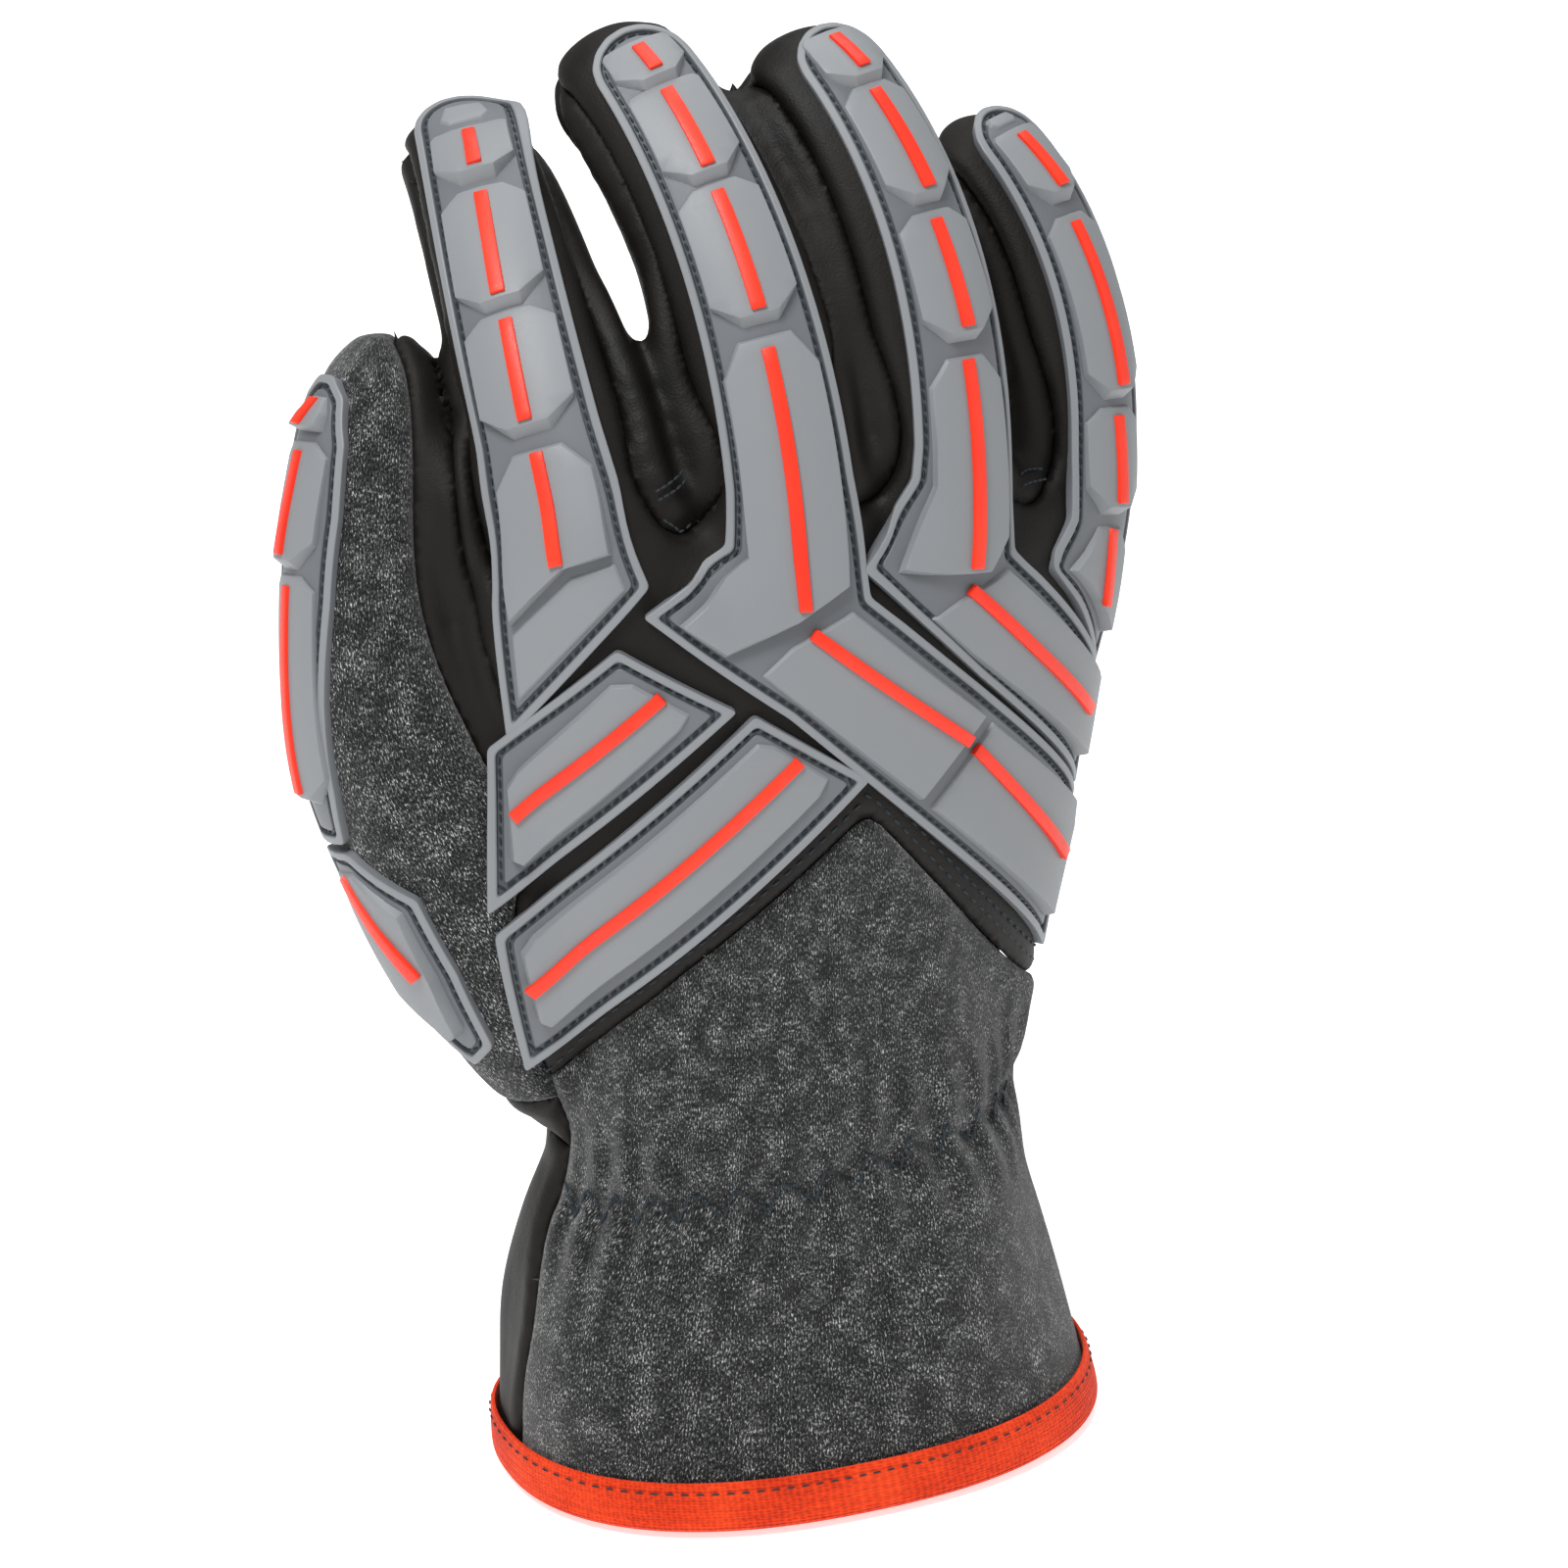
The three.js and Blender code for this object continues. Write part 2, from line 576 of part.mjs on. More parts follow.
// The thumb's chart runs along its back, `along` in millimetres from the first section.
function thumbChart(across, along) {
  let i = 0;
  let left = along;
  while (i < thumb.length - 2 && left > thumb[i].point.distanceTo(thumb[i + 1].point)) {
    left -= thumb[i].point.distanceTo(thumb[i + 1].point);
    i += 1;
  }
  const [a, b] = [thumb[i], thumb[i + 1]];
  const k = left / a.point.distanceTo(b.point);
  const between = (key) => a[key].clone().lerp(b[key], k);
  const station = { point: between("point"), normal: between("normal"), across: between("across") };
  return wrapped(station, across, FINGER_WRAP);
}

const fineSkin = meshOf(skin(0, 30, FINE)); // the guards are laid on this
const ray = new THREE.Raycaster();
const START = 25; // rays start this far outside the chart
const FARTHEST = 14; // a surface farther from the chart than this isn't the one below it

// Place of a chart's point on the glove at a height above the leather.
function lay(chart, across, along, height) {
  const { point, out } = chart(across, along);
  ray.set(point.clone().addScaledVector(out, START), out.clone().negate());
  const hit = ray.intersectObject(fineSkin)[0];
  if (!hit || Math.abs(hit.distance - START) > FARTHEST) return point.addScaledVector(out, height);
  const lift = hit.face.normal.clone().add(out).normalize();
  return hit.point.clone().addScaledVector(lift, height);
}

// Splits every edge longer than a length in a closed mesh.
function refine(points, triangles, longest) {
  let faces = triangles;
  for (let round = 0; round < HALVINGS; round++) {
    const middles = new Map();
    const middle = (a, b) => {
      if (points[a].distanceTo(points[b]) <= longest) return -1;
      const key = Math.min(a, b) + "_" + Math.max(a, b);
      if (!middles.has(key)) {
        middles.set(key, points.push(points[a].clone().lerp(points[b], 0.5)) - 1);
      }
      return middles.get(key);
    };
    const next = [];
    for (const [a, b, c] of faces) {
      const ring = [a, middle(a, b), b, middle(b, c), c, middle(c, a)].filter((v) => v >= 0);
      if (ring.length === 3) next.push([a, b, c]);
      else if (ring.length === 6) {
        const [, ab, , bc, , ca] = ring;
        next.push([a, ab, ca], [ab, b, bc], [ca, bc, c], [ab, bc, ca]);
      } else {
        const start = ring.findIndex((v) => v !== a && v !== b && v !== c);
        const turned = [...ring.slice(start), ...ring.slice(0, start)];
        for (let i = 1; i + 1 < turned.length; i++) next.push([turned[0], turned[i], turned[i + 1]]);
      }
    }
    faces = next;
    if (middles.size === 0) break;
  }
  return faces;
}

// A flat solid of a chart, in across, along and height, laid on the glove.
function laid(chart, flat, longest) {
  const { numProp, vertProperties, triVerts } = flat.getMesh();
  const points = [];
  for (let i = 0; i < vertProperties.length; i += numProp) {
    points.push(vec(vertProperties[i], vertProperties[i + 1], vertProperties[i + 2]));
  }
  const triangles = [];
  for (let i = 0; i < triVerts.length; i += 3) triangles.push([...triVerts.slice(i, i + 3)]);
  const faces = refine(points, triangles, longest);
  return solid(points.map((p) => lay(chart, p.x, p.y, p.z)), faces);
}

const slab = (outline, low, high) => prism(outline, (p, end) => vec(p.x, p.y, end ? high : low));
const underGuards = skin(GAP, 30, OUTER);

// A flat outline with its edges moved out by a distance.
function widened(outline, by) {
  const flat = outline.map(([x, y]) => new THREE.Vector2(x, y));
  if (THREE.ShapeUtils.isClockWise(flat)) flat.reverse();
  return flat.map((point, i) => {
    const before = point.clone().sub(flat.at(i - 1)).normalize();
    const after = flat[(i + 1) % flat.length].clone().sub(point).normalize();
    const out = new THREE.Vector2(before.y + after.y, -before.x - after.x);
    const corner = point.clone().addScaledVector(out, (2 * by) / out.lengthSq());
    return [corner.x, corner.y];
  });
}

// A straight red bar between two points of a chart.
function barOutline([x1, y1, x2, y2]) {
  const length = Math.hypot(x2 - x1, y2 - y1);
  const [sx, sy] = [(-(y2 - y1) / length) * BAR_HALF, ((x2 - x1) / length) * BAR_HALF];
  return [[x1 - sx, y1 - sy], [x2 - sx, y2 - sy], [x2 + sx, y2 + sy], [x1 + sx, y1 + sy]];
}

// A guard is moulded in one piece: a base sheet with raised pads, red bars set on the pads. Each
// guard keeps clear of those laid before it.
const taken = [];
function guard(name, chart, outline, pads, bars) {
  const onSkin = (flat) => laid(chart, flat, GUARD_EDGE);
  const form = (rise) => onSkin(pads.reduce(
    (sum, pad) => sum.add(slab(pad, SUNK, PAD_TOP + rise)), slab(outline, SUNK, GUARD_TOP + rise),
  ));
  const trimmed = taken.reduce((piece, room) => piece.subtract(room), form(0).subtract(underGuards));
  addPiece("guard_" + name, trimmed, rubber);
  taken.push(onSkin(slab(widened(outline, 2 * GAP), SUNK - 1, PAD_TOP + 1)));
  const layer = form(BAR_RISE).subtract(form(BAR_SEAT));
  bars.forEach((bar, i) => {
    const column = laid(chart, slab(barOutline(bar), SUNK, COLUMN_TOP), BAR_EDGE);
    addPiece(`bar_${name}_${i + 1}`, layer.intersect(column), redRubber);
  });
}

// Finger guards: the end at the tip, half widths at the tip and at the base, the outline over the
// back of the hand from the little finger's side round, the raised field inside the stitched
// channel there, any further raised fields, and the bars from the tip down.
const fingerGuards = {
  index: {
    tip: 91, half: [8.4, 11],
    tail: [[12, -9.5], [-19.5, -28], [-13, -3]],
    field: [[8.6, -8.6], [-15.8, -22.8], [-10, -3]],
    fields: [],
    bars: [[0, 67.5, 0, 78], [0, 43, 0, 63.5], [0, 22, 0, 40], [0, -1.5, 0, 17.5]],
  },
  middle: {
    tip: 103, half: [8.4, 10.6],
    tail: [[12, 0], [61.7, -47.5], [61.0, -53.4], [53.3, -74.6], [-3, -18.4], [-26, -0.2], [-11, 10.4]],
    field: [[8.6, 4], [1.5, -3.5], [-9, -9], [-20, -1.4], [-7.6, 9]],
    fields: [[[11, -4], [58.5, -48], [57.8, -53], [51.5, -68.5], [-4.4, -13.4]]],
    bars: [
      [0, 92, 0, 98], [0, 72.5, 0, 89], [0, 48, 0, 69.5], [0, -1, 0, 42.5],
      [1.3, -4.4, 28, -27.4], [30.2, -29.6, 52.6, -56],
    ],
  },
  ring: {
    tip: 98, half: [8.2, 10.2],
    tail: [[10.2, 1], [42.6, -23.7], [41.9, -30], [40.2, -44.2], [4.3, -19.5], [-19.6, -1.6], [-10.4, 14.3]],
    field: [[7.2, 3], [-1, -6.6], [-14, -2.4], [-7.2, 13]],
    fields: [[[9, -1.4], [39.6, -24], [37, -39], [1.2, -16]]],
    bars: [
      [0, 83.5, 0, 91.5], [0, 61, 0, 80.5], [0, 38, 0, 57], [0, -0.8, 0, 33.5],
      [0.4, -4.3, 33, -28.8],
    ],
  },
  little: {
    tip: 89, half: [7.8, 9.6],
    tail: [[9.6, -7.6], [7.6, -11.3], [-14.2, 4.5], [-9.6, 14]],
    field: [[6.6, -6], [-10.4, 5], [-6.6, 13]],
    fields: [],
    bars: [[0, 70, 0, 82], [0, 36, 0, 65], [0, 16.5, 0, 32], [-0.7, -0.6, 0.3, 12.7]],
  },
};
const MID_LENGTH = 20; // above this a finger guard is a straight strip
const TIP_CORNER = 6; // length of the rounded end of a finger guard

for (const [name, { tip, half, tail, field, fields, bars }] of Object.entries(fingerGuards)) {
  const widthAt = (s) => mix(half[1], half[0], s / tip);
  const shoulder = tip - TIP_CORNER;
  const inset = widthAt(MID_LENGTH) - CHANNEL;
  const outline = [
    [widthAt(MID_LENGTH), MID_LENGTH], [widthAt(shoulder), shoulder],
    [0.6 * half[0], tip], [-0.6 * half[0], tip],
    [-widthAt(shoulder), shoulder], [-widthAt(MID_LENGTH), MID_LENGTH],
    ...tail.toReversed(),
  ];
  const main = [
    [inset, MID_LENGTH], [half[0] - CHANNEL, shoulder], [CHANNEL - half[0], shoulder],
    [-inset, MID_LENGTH], ...field.toReversed(),
  ];
  guard(name, fingerChart(fingers[name]), outline, [main, ...fields], bars);
}

// Two guards lie across the back of the hand under the index finger.
guard(
  "back_upper", handChart,
  [[-40, 155], [-21.3, 144.2], [-61, 108.4], [-61.6, 136]],
  [[[-39.6, 150.6], [-29, 144.6], [-57.8, 115], [-58.4, 132]]],
  [[-57.5, 125, -33.2, 147.4]],
);
guard(
  "back_lower", handChart,
  [[-18.5, 143.2], [0.5, 129.8], [-57.5, 79], [-60.2, 104.8]],
  [[[-18.2, 139], [-6.6, 131], [-54.6, 86], [-56.6, 104]]],
  [[-55.7, 95.4, -11.6, 134.8]],
);

// Guards of the thumb and of its base
guard(
  "thumb", thumbChart,
  [
    [13.5, 71.5], [15, 80], [16.2, 96], [17.8, 112], [18.4, 126], [17.4, 138], [14, 146], [10, 149.5],
    [6, 149.5], [2.5, 146], [0.2, 138], [-1.2, 126], [-0.8, 112], [0, 96], [1.2, 80], [3, 71.5],
  ],
  [[
    [11.4, 78], [12.9, 98], [14.6, 114], [15.2, 126], [14.2, 137], [11.4, 144], [8.6, 146.4],
    [7.2, 146.4], [5.2, 144], [3.4, 137], [2, 126], [2.4, 114], [3.2, 98], [4.6, 78],
  ]],
  [[8.3, 81, 8.3, 114.6], [8.3, 119.6, 8.3, 136.4], [8, 140.4, 8, 145.4]],
);
guard(
  "thumb_base", thumbChart,
  [[3.5, 70], [13, 70], [22.5, 59.5], [23, 45], [21.5, 31], [16, 28], [7, 42], [3, 58]],
  [[[6.6, 66.4], [12.4, 66.4], [19.4, 58.2], [19.8, 45.6], [18.6, 35.4], [16.6, 34], [10.2, 43.6], [6.4, 58.6]]],
  [[9.4, 65.6, 17.6, 47]],
);

export default group;
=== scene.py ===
# %% [markdown]
# # Fire-resistant impact glove
#
# A work glove for the right hand, filled out as when it is worn. It is made here in the order in
# which a glove maker works: the form of the hand, the panels cut and sewn over it, the moulded
# rubber guards with their red bars, the visible stitches, and the tape round the hem.
# Everything is drawn in millimetres and scaled to metres when a piece is finished.

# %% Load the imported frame
from math import asin, cos, hypot, pi, radians, sin

import bmesh
import bpy
import numpy as np
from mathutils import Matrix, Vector, kdtree
from mathutils.bvhtree import BVHTree


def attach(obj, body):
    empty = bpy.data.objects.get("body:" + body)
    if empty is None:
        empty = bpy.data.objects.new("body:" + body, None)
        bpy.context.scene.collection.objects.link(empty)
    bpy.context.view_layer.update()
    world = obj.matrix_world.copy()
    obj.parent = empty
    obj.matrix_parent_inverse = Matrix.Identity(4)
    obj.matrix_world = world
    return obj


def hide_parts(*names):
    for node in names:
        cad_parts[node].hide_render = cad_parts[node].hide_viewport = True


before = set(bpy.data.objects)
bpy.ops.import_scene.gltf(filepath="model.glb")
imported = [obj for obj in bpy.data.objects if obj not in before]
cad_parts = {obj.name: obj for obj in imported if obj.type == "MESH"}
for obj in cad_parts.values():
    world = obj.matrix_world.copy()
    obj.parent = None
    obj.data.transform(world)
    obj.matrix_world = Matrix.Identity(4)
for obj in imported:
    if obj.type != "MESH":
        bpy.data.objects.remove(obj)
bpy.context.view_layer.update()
MM = 0.001

# %% [markdown]
# ## Camera and light
#
# The photograph looks at the back of the hand from the thumb's side and from above. A long lens
# one metre away gives its flat perspective. An even pale world stands round the glove: one large
# light from the upper left models the pads, and two weaker ones open the shadows.


# %% Camera
def linked(name, data):
    """A new object that holds the data, linked to the scene."""
    piece = bpy.data.objects.new(name, data)
    bpy.context.scene.collection.objects.link(piece)
    return piece


def place_towards(piece, azimuth, elevation, distance):
    """Sets a camera or a light round the glove, its angles in degrees, looking at its middle."""
    az, el = radians(azimuth), radians(elevation)
    out = Vector((sin(az) * cos(el), -cos(az) * cos(el), sin(el)))
    piece.location = LOOK_AT + out * distance
    piece.rotation_euler = out.to_track_quat("Z", "Y").to_euler()


LOOK_AT = Vector((0, 0, 0.121))
camera = linked("camera", bpy.data.cameras.new("camera"))
camera.data.sensor_width = 36
camera.data.lens = 136.4
place_towards(camera, -22, 24, 1)
bpy.context.scene.camera = camera


# %% Soft lights and floor
def soft_light(name, azimuth, elevation, distance, size, watts):
    light = linked(name, bpy.data.lights.new(name, "AREA"))
    light.data.size = size
    light.data.energy = watts
    place_towards(light, azimuth, elevation, distance)


soft_light("key_light", -55, 60, 1.2, 0.45, 14)
soft_light("fill_light", 60, 25, 1.3, 0.9, 2)
soft_light("top_light", 150, 65, 1.2, 0.8, 6)

world = bpy.data.worlds.new("pale_room")
bpy.context.scene.world = world
world.use_nodes = True
world.node_tree.nodes["Background"].inputs["Color"].default_value = (1, 1, 1, 1)
world.node_tree.nodes["Background"].inputs["Strength"].default_value = 0.36
bpy.context.scene.view_settings.view_transform = "Standard"


def finished(bm, name, scale=MM):
    """Turns a bmesh in millimetres into an object in metres."""
    bmesh.ops.scale(bm, vec=(scale,) * 3, verts=bm.verts)
    mesh = bpy.data.meshes.new(name)
    bm.to_mesh(mesh)
    bm.free()
    return linked(name, mesh)


FLOOR_HALF, FLOOR_DROP = 6000, 1
floor_mesh = bmesh.new()
bmesh.ops.create_grid(floor_mesh, x_segments=1, y_segments=1, size=FLOOR_HALF)
bmesh.ops.translate(floor_mesh, verts=floor_mesh.verts, vec=(0, 0, -FLOOR_DROP))
floor = finished(floor_mesh, "floor")
floor_paint = bpy.data.materials.new("pale_floor")
floor_paint.use_nodes = True
floor_shader = floor_paint.node_tree.nodes["Principled BSDF"]
floor_shader.inputs["Base Color"].default_value = (0.9, 0.9, 0.9, 1)
floor_shader.inputs["Roughness"].default_value = 0.9
floor_shader.inputs["Emission Color"].default_value = (1, 1, 1, 1)
floor_shader.inputs["Emission Strength"].default_value = 0.6
floor.data.materials.append(floor_paint)
print("camera at", [round(value, 3) for value in camera.location])

# %% [markdown]
# ## The form of the hand
#
# A stuffed glove is one smooth skin, yet a hand is easiest to describe as a body with four fingers
# and a thumb. So each of them is lofted from short tables: a circle is created, each further ring
# is extruded from the one below and set to its section. A voxel remesh then fuses the six forms,
# and smoothing rounds the webs between the fingers, as leather bridges them.

# %% Tables of the sections, in millimetres
BODY = np.array([
    # level, centre x, centre y, half width, depth to the back, depth to the palm, squareness
    [0, 1.6, -2, 53.6, 36, 31, 2.3],
    [31, -1.5, 0, 49.3, 32, 28, 2.3],
    [46, -1.3, 0, 45.6, 29.4, 26, 2.2],
    [60, 0.4, 0, 41.6, 27, 26, 2.2],
    [84, 1.2, 3, 45.2, 27.5, 26, 2.0],
    [116, 1.8, 5.5, 52.2, 27.5, 20, 1.9],
    [140, 3.4, 7.5, 55.2, 27.5, 15, 1.85],
    [156, 4, 8.5, 56.4, 26.8, 12.5, 1.8],
    [165, 3.6, 7.5, 53, 21.5, 11, 1.9],
    [171, 3, 6.5, 44, 13, 7, 2.0],
    [174, 3, 6.5, 34, 8, 4, 2.0],
])
FINGERS = {
    "index": dict(base=(-40.2, -5.2, 170.3), turn=-40, sway=(-19.6, -27.8), curl=(15, 79),
                  reach=86, wide=(15.8, 11.2), thick=(13.8, 10.4), beyond=10.5),
    "middle": dict(base=(-3.9, -16.5, 160.5), turn=-14, sway=(0, -26), curl=(11.3, 61.3),
                   reach=103, wide=(15.8, 12.2), thick=(14.2, 11), beyond=8.5),
    "ring": dict(base=(26.5, -14.5, 163), turn=16, sway=(9.6, -6.5), curl=(7.5, 61.5),
                 reach=96, wide=(15.2, 12.8), thick=(13.8, 11.2), beyond=6),
    "little": dict(base=(55, -1.9, 146.9), turn=30, sway=(20, -2.3), curl=(0.6, 51.5),
                   reach=84, wide=(13.4, 11.6), thick=(12.6, 10.2), beyond=9),
}
ROOT = 20  # a finger's form starts this far down inside the hand
CURL_POWER, CURL_END = 1.5, 1.15  # a finger bends more towards its tip, up to this share of its reach
THUMB = np.array([
    # centre x, y and z, half width, half thickness
    [-24, 9, 66, 14, 13],
    [-33, 9, 78, 18, 18.5],
    [-43, 11, 95, 19, 20],
    [-53, 15, 114, 18.5, 19],
    [-60.5, 20, 134, 17, 17],
    [-62.5, 25, 153, 16, 14.6],
    [-60.5, 30, 171, 15.2, 13.4],
    [-58, 34, 185, 13, 11.4],
    [-57, 36, 193, 9, 8],
    [-56.6, 37, 197, 4, 3.6],
])
THUMB_TURN = -112  # the way that the thumb's back faces, from -Y


# %% Lofting helpers
def eased(knots, rows, at):
    """Values of a table between its rows, on a smooth curve through them."""
    slope = np.gradient(rows, knots, axis=0)
    i = np.clip(np.searchsorted(knots, at) - 1, 0, len(knots) - 2)
    step = (knots[i + 1] - knots[i])[:, None]
    t = ((at - knots[i])[:, None]) / step
    before = (1 + 2 * t) * (1 - t) ** 2 * rows[i] + t * (1 - t) ** 2 * step * slope[i]
    return before + t * t * (3 - 2 * t) * rows[i + 1] + t * t * (t - 1) * step * slope[i + 1]


def section(count, squareness):
    """Points round a rounded section of half size 1: across and out of the back."""
    angle = np.linspace(0, 2 * pi, count, endpoint=False)
    bow = lambda value: np.sign(value) * np.abs(value) ** (2 / squareness)
    return np.stack([bow(np.cos(angle)), bow(np.sin(angle))], 1)


def add_ring(bm, points, below=None):
    """Adds a ring of a lofted skin: a circle first, then extruded from the ring below."""
    if below is None:
        ring = bmesh.ops.create_circle(bm, segments=len(points), radius=1)["verts"]
    else:
        edges = [bm.edges.get((below[i - 1], below[i])) for i in range(len(below))]
        grown = set(bmesh.ops.extrude_edge_only(bm, edges=edges)["geom"])
        ring = [next(e.other_vert(v) for e in v.link_edges if e.other_vert(v) in grown) for v in below]
    for vert, point in zip(ring, points):
        vert.co = Vector(point)
    return ring


def loft(bm, sections):
    ring = None
    for points in sections:
        ring = add_ring(bm, points, ring)


def unit(vectors):
    return vectors / np.linalg.norm(vectors, axis=-1, keepdims=True)


# %% Middle line of each finger and of the thumb
def finger_line(base, turn, sway, curl, reach, wide, thick, beyond):
    """Stations one millimetre apart along a finger's back, with its half sizes."""
    front = np.array([sin(radians(turn)), -cos(radians(turn)), 0])
    side = np.array([cos(radians(turn)), sin(radians(turn)), 0])
    s = np.arange(0, reach + beyond + 2.0)
    part = s / reach
    bend = np.radians(curl[0] + (curl[1] - curl[0]) * np.minimum(part, CURL_END) ** CURL_POWER)[:, None]
    lean = np.radians(sway[0] + (sway[1] - sway[0]) * part)[:, None]
    rise = np.cos(bend) * [0, 0, 1] - np.sin(bend) * front
    along = rise * np.cos(lean) + side * np.sin(lean)
    normal = np.cos(bend) * front + np.sin(bend) * [0, 0, 1]
    normal = unit(normal - along * np.sum(normal * along, 1, keepdims=True))
    across = unit(np.cross(along, normal))
    across *= np.sign(across @ side)[:, None]
    point = np.array(base) + np.vstack([np.zeros(3), np.cumsum(along[:-1], 0)])
    down = np.arange(-ROOT, 0.0)
    first = lambda values: np.repeat(values[:1], ROOT, 0)
    point = np.vstack([point[0] + down[:, None] * along[0], point])
    s = np.concatenate([down, s])
    share = np.clip(s / reach, 0, 1)
    return dict(
        s=s, point=point, along=np.vstack([first(along), along]),
        normal=np.vstack([first(normal), normal]), across=np.vstack([first(across), across]),
        wide=wide[0] + (wide[1] - wide[0]) * share, thick=thick[0] + (thick[1] - thick[0]) * share,
        tip=reach + beyond,
    )


def thumb_line():
    """The same for the thumb: its length is counted from the first row of the table."""
    runs = np.linalg.norm(np.diff(THUMB[:, :3], axis=0), axis=1)
    knots = np.concatenate([[0], np.cumsum(runs)])
    s = np.arange(0, knots[-1], 1.0)
    rows = eased(knots, THUMB, s)
    front = np.array([sin(radians(THUMB_TURN)), -cos(radians(THUMB_TURN)), 0])
    along = unit(np.gradient(rows[:, :3], axis=0))
    normal = unit(front - along * (along @ front)[:, None])
    across = unit(np.cross(along, normal))
    return dict(
        s=s, point=rows[:, :3] + normal * rows[:, 4:5], along=along, normal=normal, across=across,
        wide=rows[:, 3], thick=rows[:, 4], tip=s[-1], knots=knots,
    )


LINES = {name: finger_line(**values) for name, values in FINGERS.items()}
LINES["thumb"] = thumb_line()
for name, line in LINES.items():
    line["centre"] = line["point"] - line["normal"] * line["thick"][:, None]
    print(name, "runs to", np.round(line["point"][-1], 1))

# %% Loft the six forms and fuse them
ROUND = section(48, 2.25)
BODY_SIDES = 96
SIDE_ROLLS = [
    # finger, side, start and end along it, swell beyond its side
    ("index", 1, -2, 52, 2.9), ("middle", -1, 12, 64, 2.9),
    ("middle", 1, 12, 80, 1.6), ("ring", -1, 8, 72, 1.6),
    ("ring", 1, 4, 70, 1.8), ("little", -1, 12, 60, 1.8),
]
ROLL = 5.5  # radius of the puffed leather beside a web
ROOT_DIP, ROOT_SHRINK = 4.5, 0.35  # how far a finger's root sinks into the hand and how much it narrows


def ring_at(line, i, centre, flat):
    """A flat section set across a line at one of its stations."""
    return centre + flat[:, :1] * line["across"][i] + flat[:, 1:] * line["normal"][i]


def tube(line, i, shrink=1.0):
    """Ring of a finger. Its root dips into the hand, so that no step shows there."""
    down = (min(line["s"][i], 0) / ROOT) ** 2
    dip = ROOT_DIP * down
    shrink = shrink - ROOT_SHRINK * down
    flat = ROUND * [line["wide"][i] * shrink, line["thick"][i] * shrink]
    return ring_at(line, i, line["centre"][i] - line["normal"][i] * dip, flat)


form = bmesh.new()
body_sections = []
for level, x, y, half, back, palm, square in eased(BODY[:, 0], BODY, np.linspace(-4, 174, 72)):
    flat = section(BODY_SIDES, square)
    depth = np.where(flat[:, 1] < 0, back, palm)
    body_sections.append(np.stack(
        [x + flat[:, 0] * half, y + flat[:, 1] * depth, np.full(BODY_SIDES, level)], 1))
loft(form, body_sections)
for name in FINGERS:
    line = LINES[name]
    cap_start = line["tip"] - line["thick"][-1]
    rings = [tube(line, i) for i in range(0, int(cap_start) + ROOT, 3)]
    for turn in range(0, 90, 8):
        i = np.argmin(abs(line["s"] - (cap_start + line["thick"][-1] * sin(radians(turn)))))
        rings.append(tube(line, i, cos(radians(turn)) ** 0.9))
    loft(form, rings)
loft(form, [tube(LINES["thumb"], i) for i in range(0, len(LINES["thumb"]["s"]), 3)])
for name, side, start, end, swell in SIDE_ROLLS:
    line = LINES[name]
    rings = []
    for i in range(start + ROOT, end + ROOT, 3):
        into = (i - ROOT - start) / (end - start)  # a roll swells soon after its start and fades late
        beyond = swell * min(1, 2.6 * (1 - into)) * min(1, 6 * into + 0.2)
        centre = line["centre"][i] + line["across"][i] * side * (line["wide"][i] + beyond - ROLL)
        centre = centre + line["normal"][i] * 0.1 * line["thick"][i]
        rings.append(ring_at(line, i, centre, section(20, 2) * ROLL))
    loft(form, rings)
CROTCH = ((-46.5, 18, 165), (10.5, 12, 21))  # leather between the thumb and the hand
crotch = bmesh.ops.create_uvsphere(form, u_segments=24, v_segments=16, radius=1)["verts"]
bmesh.ops.scale(form, verts=crotch, vec=CROTCH[1])
bmesh.ops.translate(form, verts=crotch, vec=CROTCH[0])
bmesh.ops.holes_fill(form, edges=[edge for edge in form.edges if edge.is_boundary], sides=0)
bmesh.ops.recalc_face_normals(form, faces=form.faces)
form = finished(form, "form", scale=1)


def baked(piece, **modifiers):
    """Mesh of an object after the modifiers named here, in their order."""
    for kind, settings in modifiers.items():
        modifier = piece.modifiers.new(kind, kind.rstrip("_"))
        for key, value in settings.items():
            setattr(modifier, key, value)
    seen = piece.evaluated_get(bpy.context.evaluated_depsgraph_get())
    mesh = bpy.data.meshes.new_from_object(seen)
    piece.modifiers.clear()
    return mesh


BRIDGE, BED_BRIDGE = 1.0, 6  # leather, and stiff rubber, bridge a hollow narrower than twice this
SKIN_VOXEL, BED_VOXEL = 0.95, 1.6
skin_mesh = baked(
    form, DISPLACE=dict(strength=BRIDGE, mid_level=0), REMESH=dict(mode="VOXEL", voxel_size=SKIN_VOXEL),
    SMOOTH=dict(factor=0.5, iterations=6), DISPLACE_=dict(strength=-BRIDGE, mid_level=0),
    SMOOTH_=dict(factor=0.5, iterations=18), TRIANGULATE={},
)
bed_mesh = baked(
    form, DISPLACE=dict(strength=BED_BRIDGE, mid_level=0),
    REMESH=dict(mode="VOXEL", voxel_size=BED_VOXEL),
    DISPLACE_=dict(strength=-BED_BRIDGE, mid_level=0), SMOOTH=dict(factor=0.5, iterations=14),
)
bpy.data.objects.remove(form)
print("skin", len(skin_mesh.polygons), "faces, bed of the guards", len(bed_mesh.polygons))

# %% [markdown]
# ## Panels and seams
#
# A glove is sewn from panels: the back with the backs of the fingers, the fourchettes between two
# fingers, the palm, the fronts and the knit. Cutting them from one skin keeps every seam tight.
# Each panel is a field over the skin, in millimetres, positive inside. A point belongs to the
# panel whose field is the highest, and the points next to a border move onto it, which turns a
# ragged border into a drawn line. Along that line the leather dips into the seam and swells
# beside it, as folded and stitched leather does.


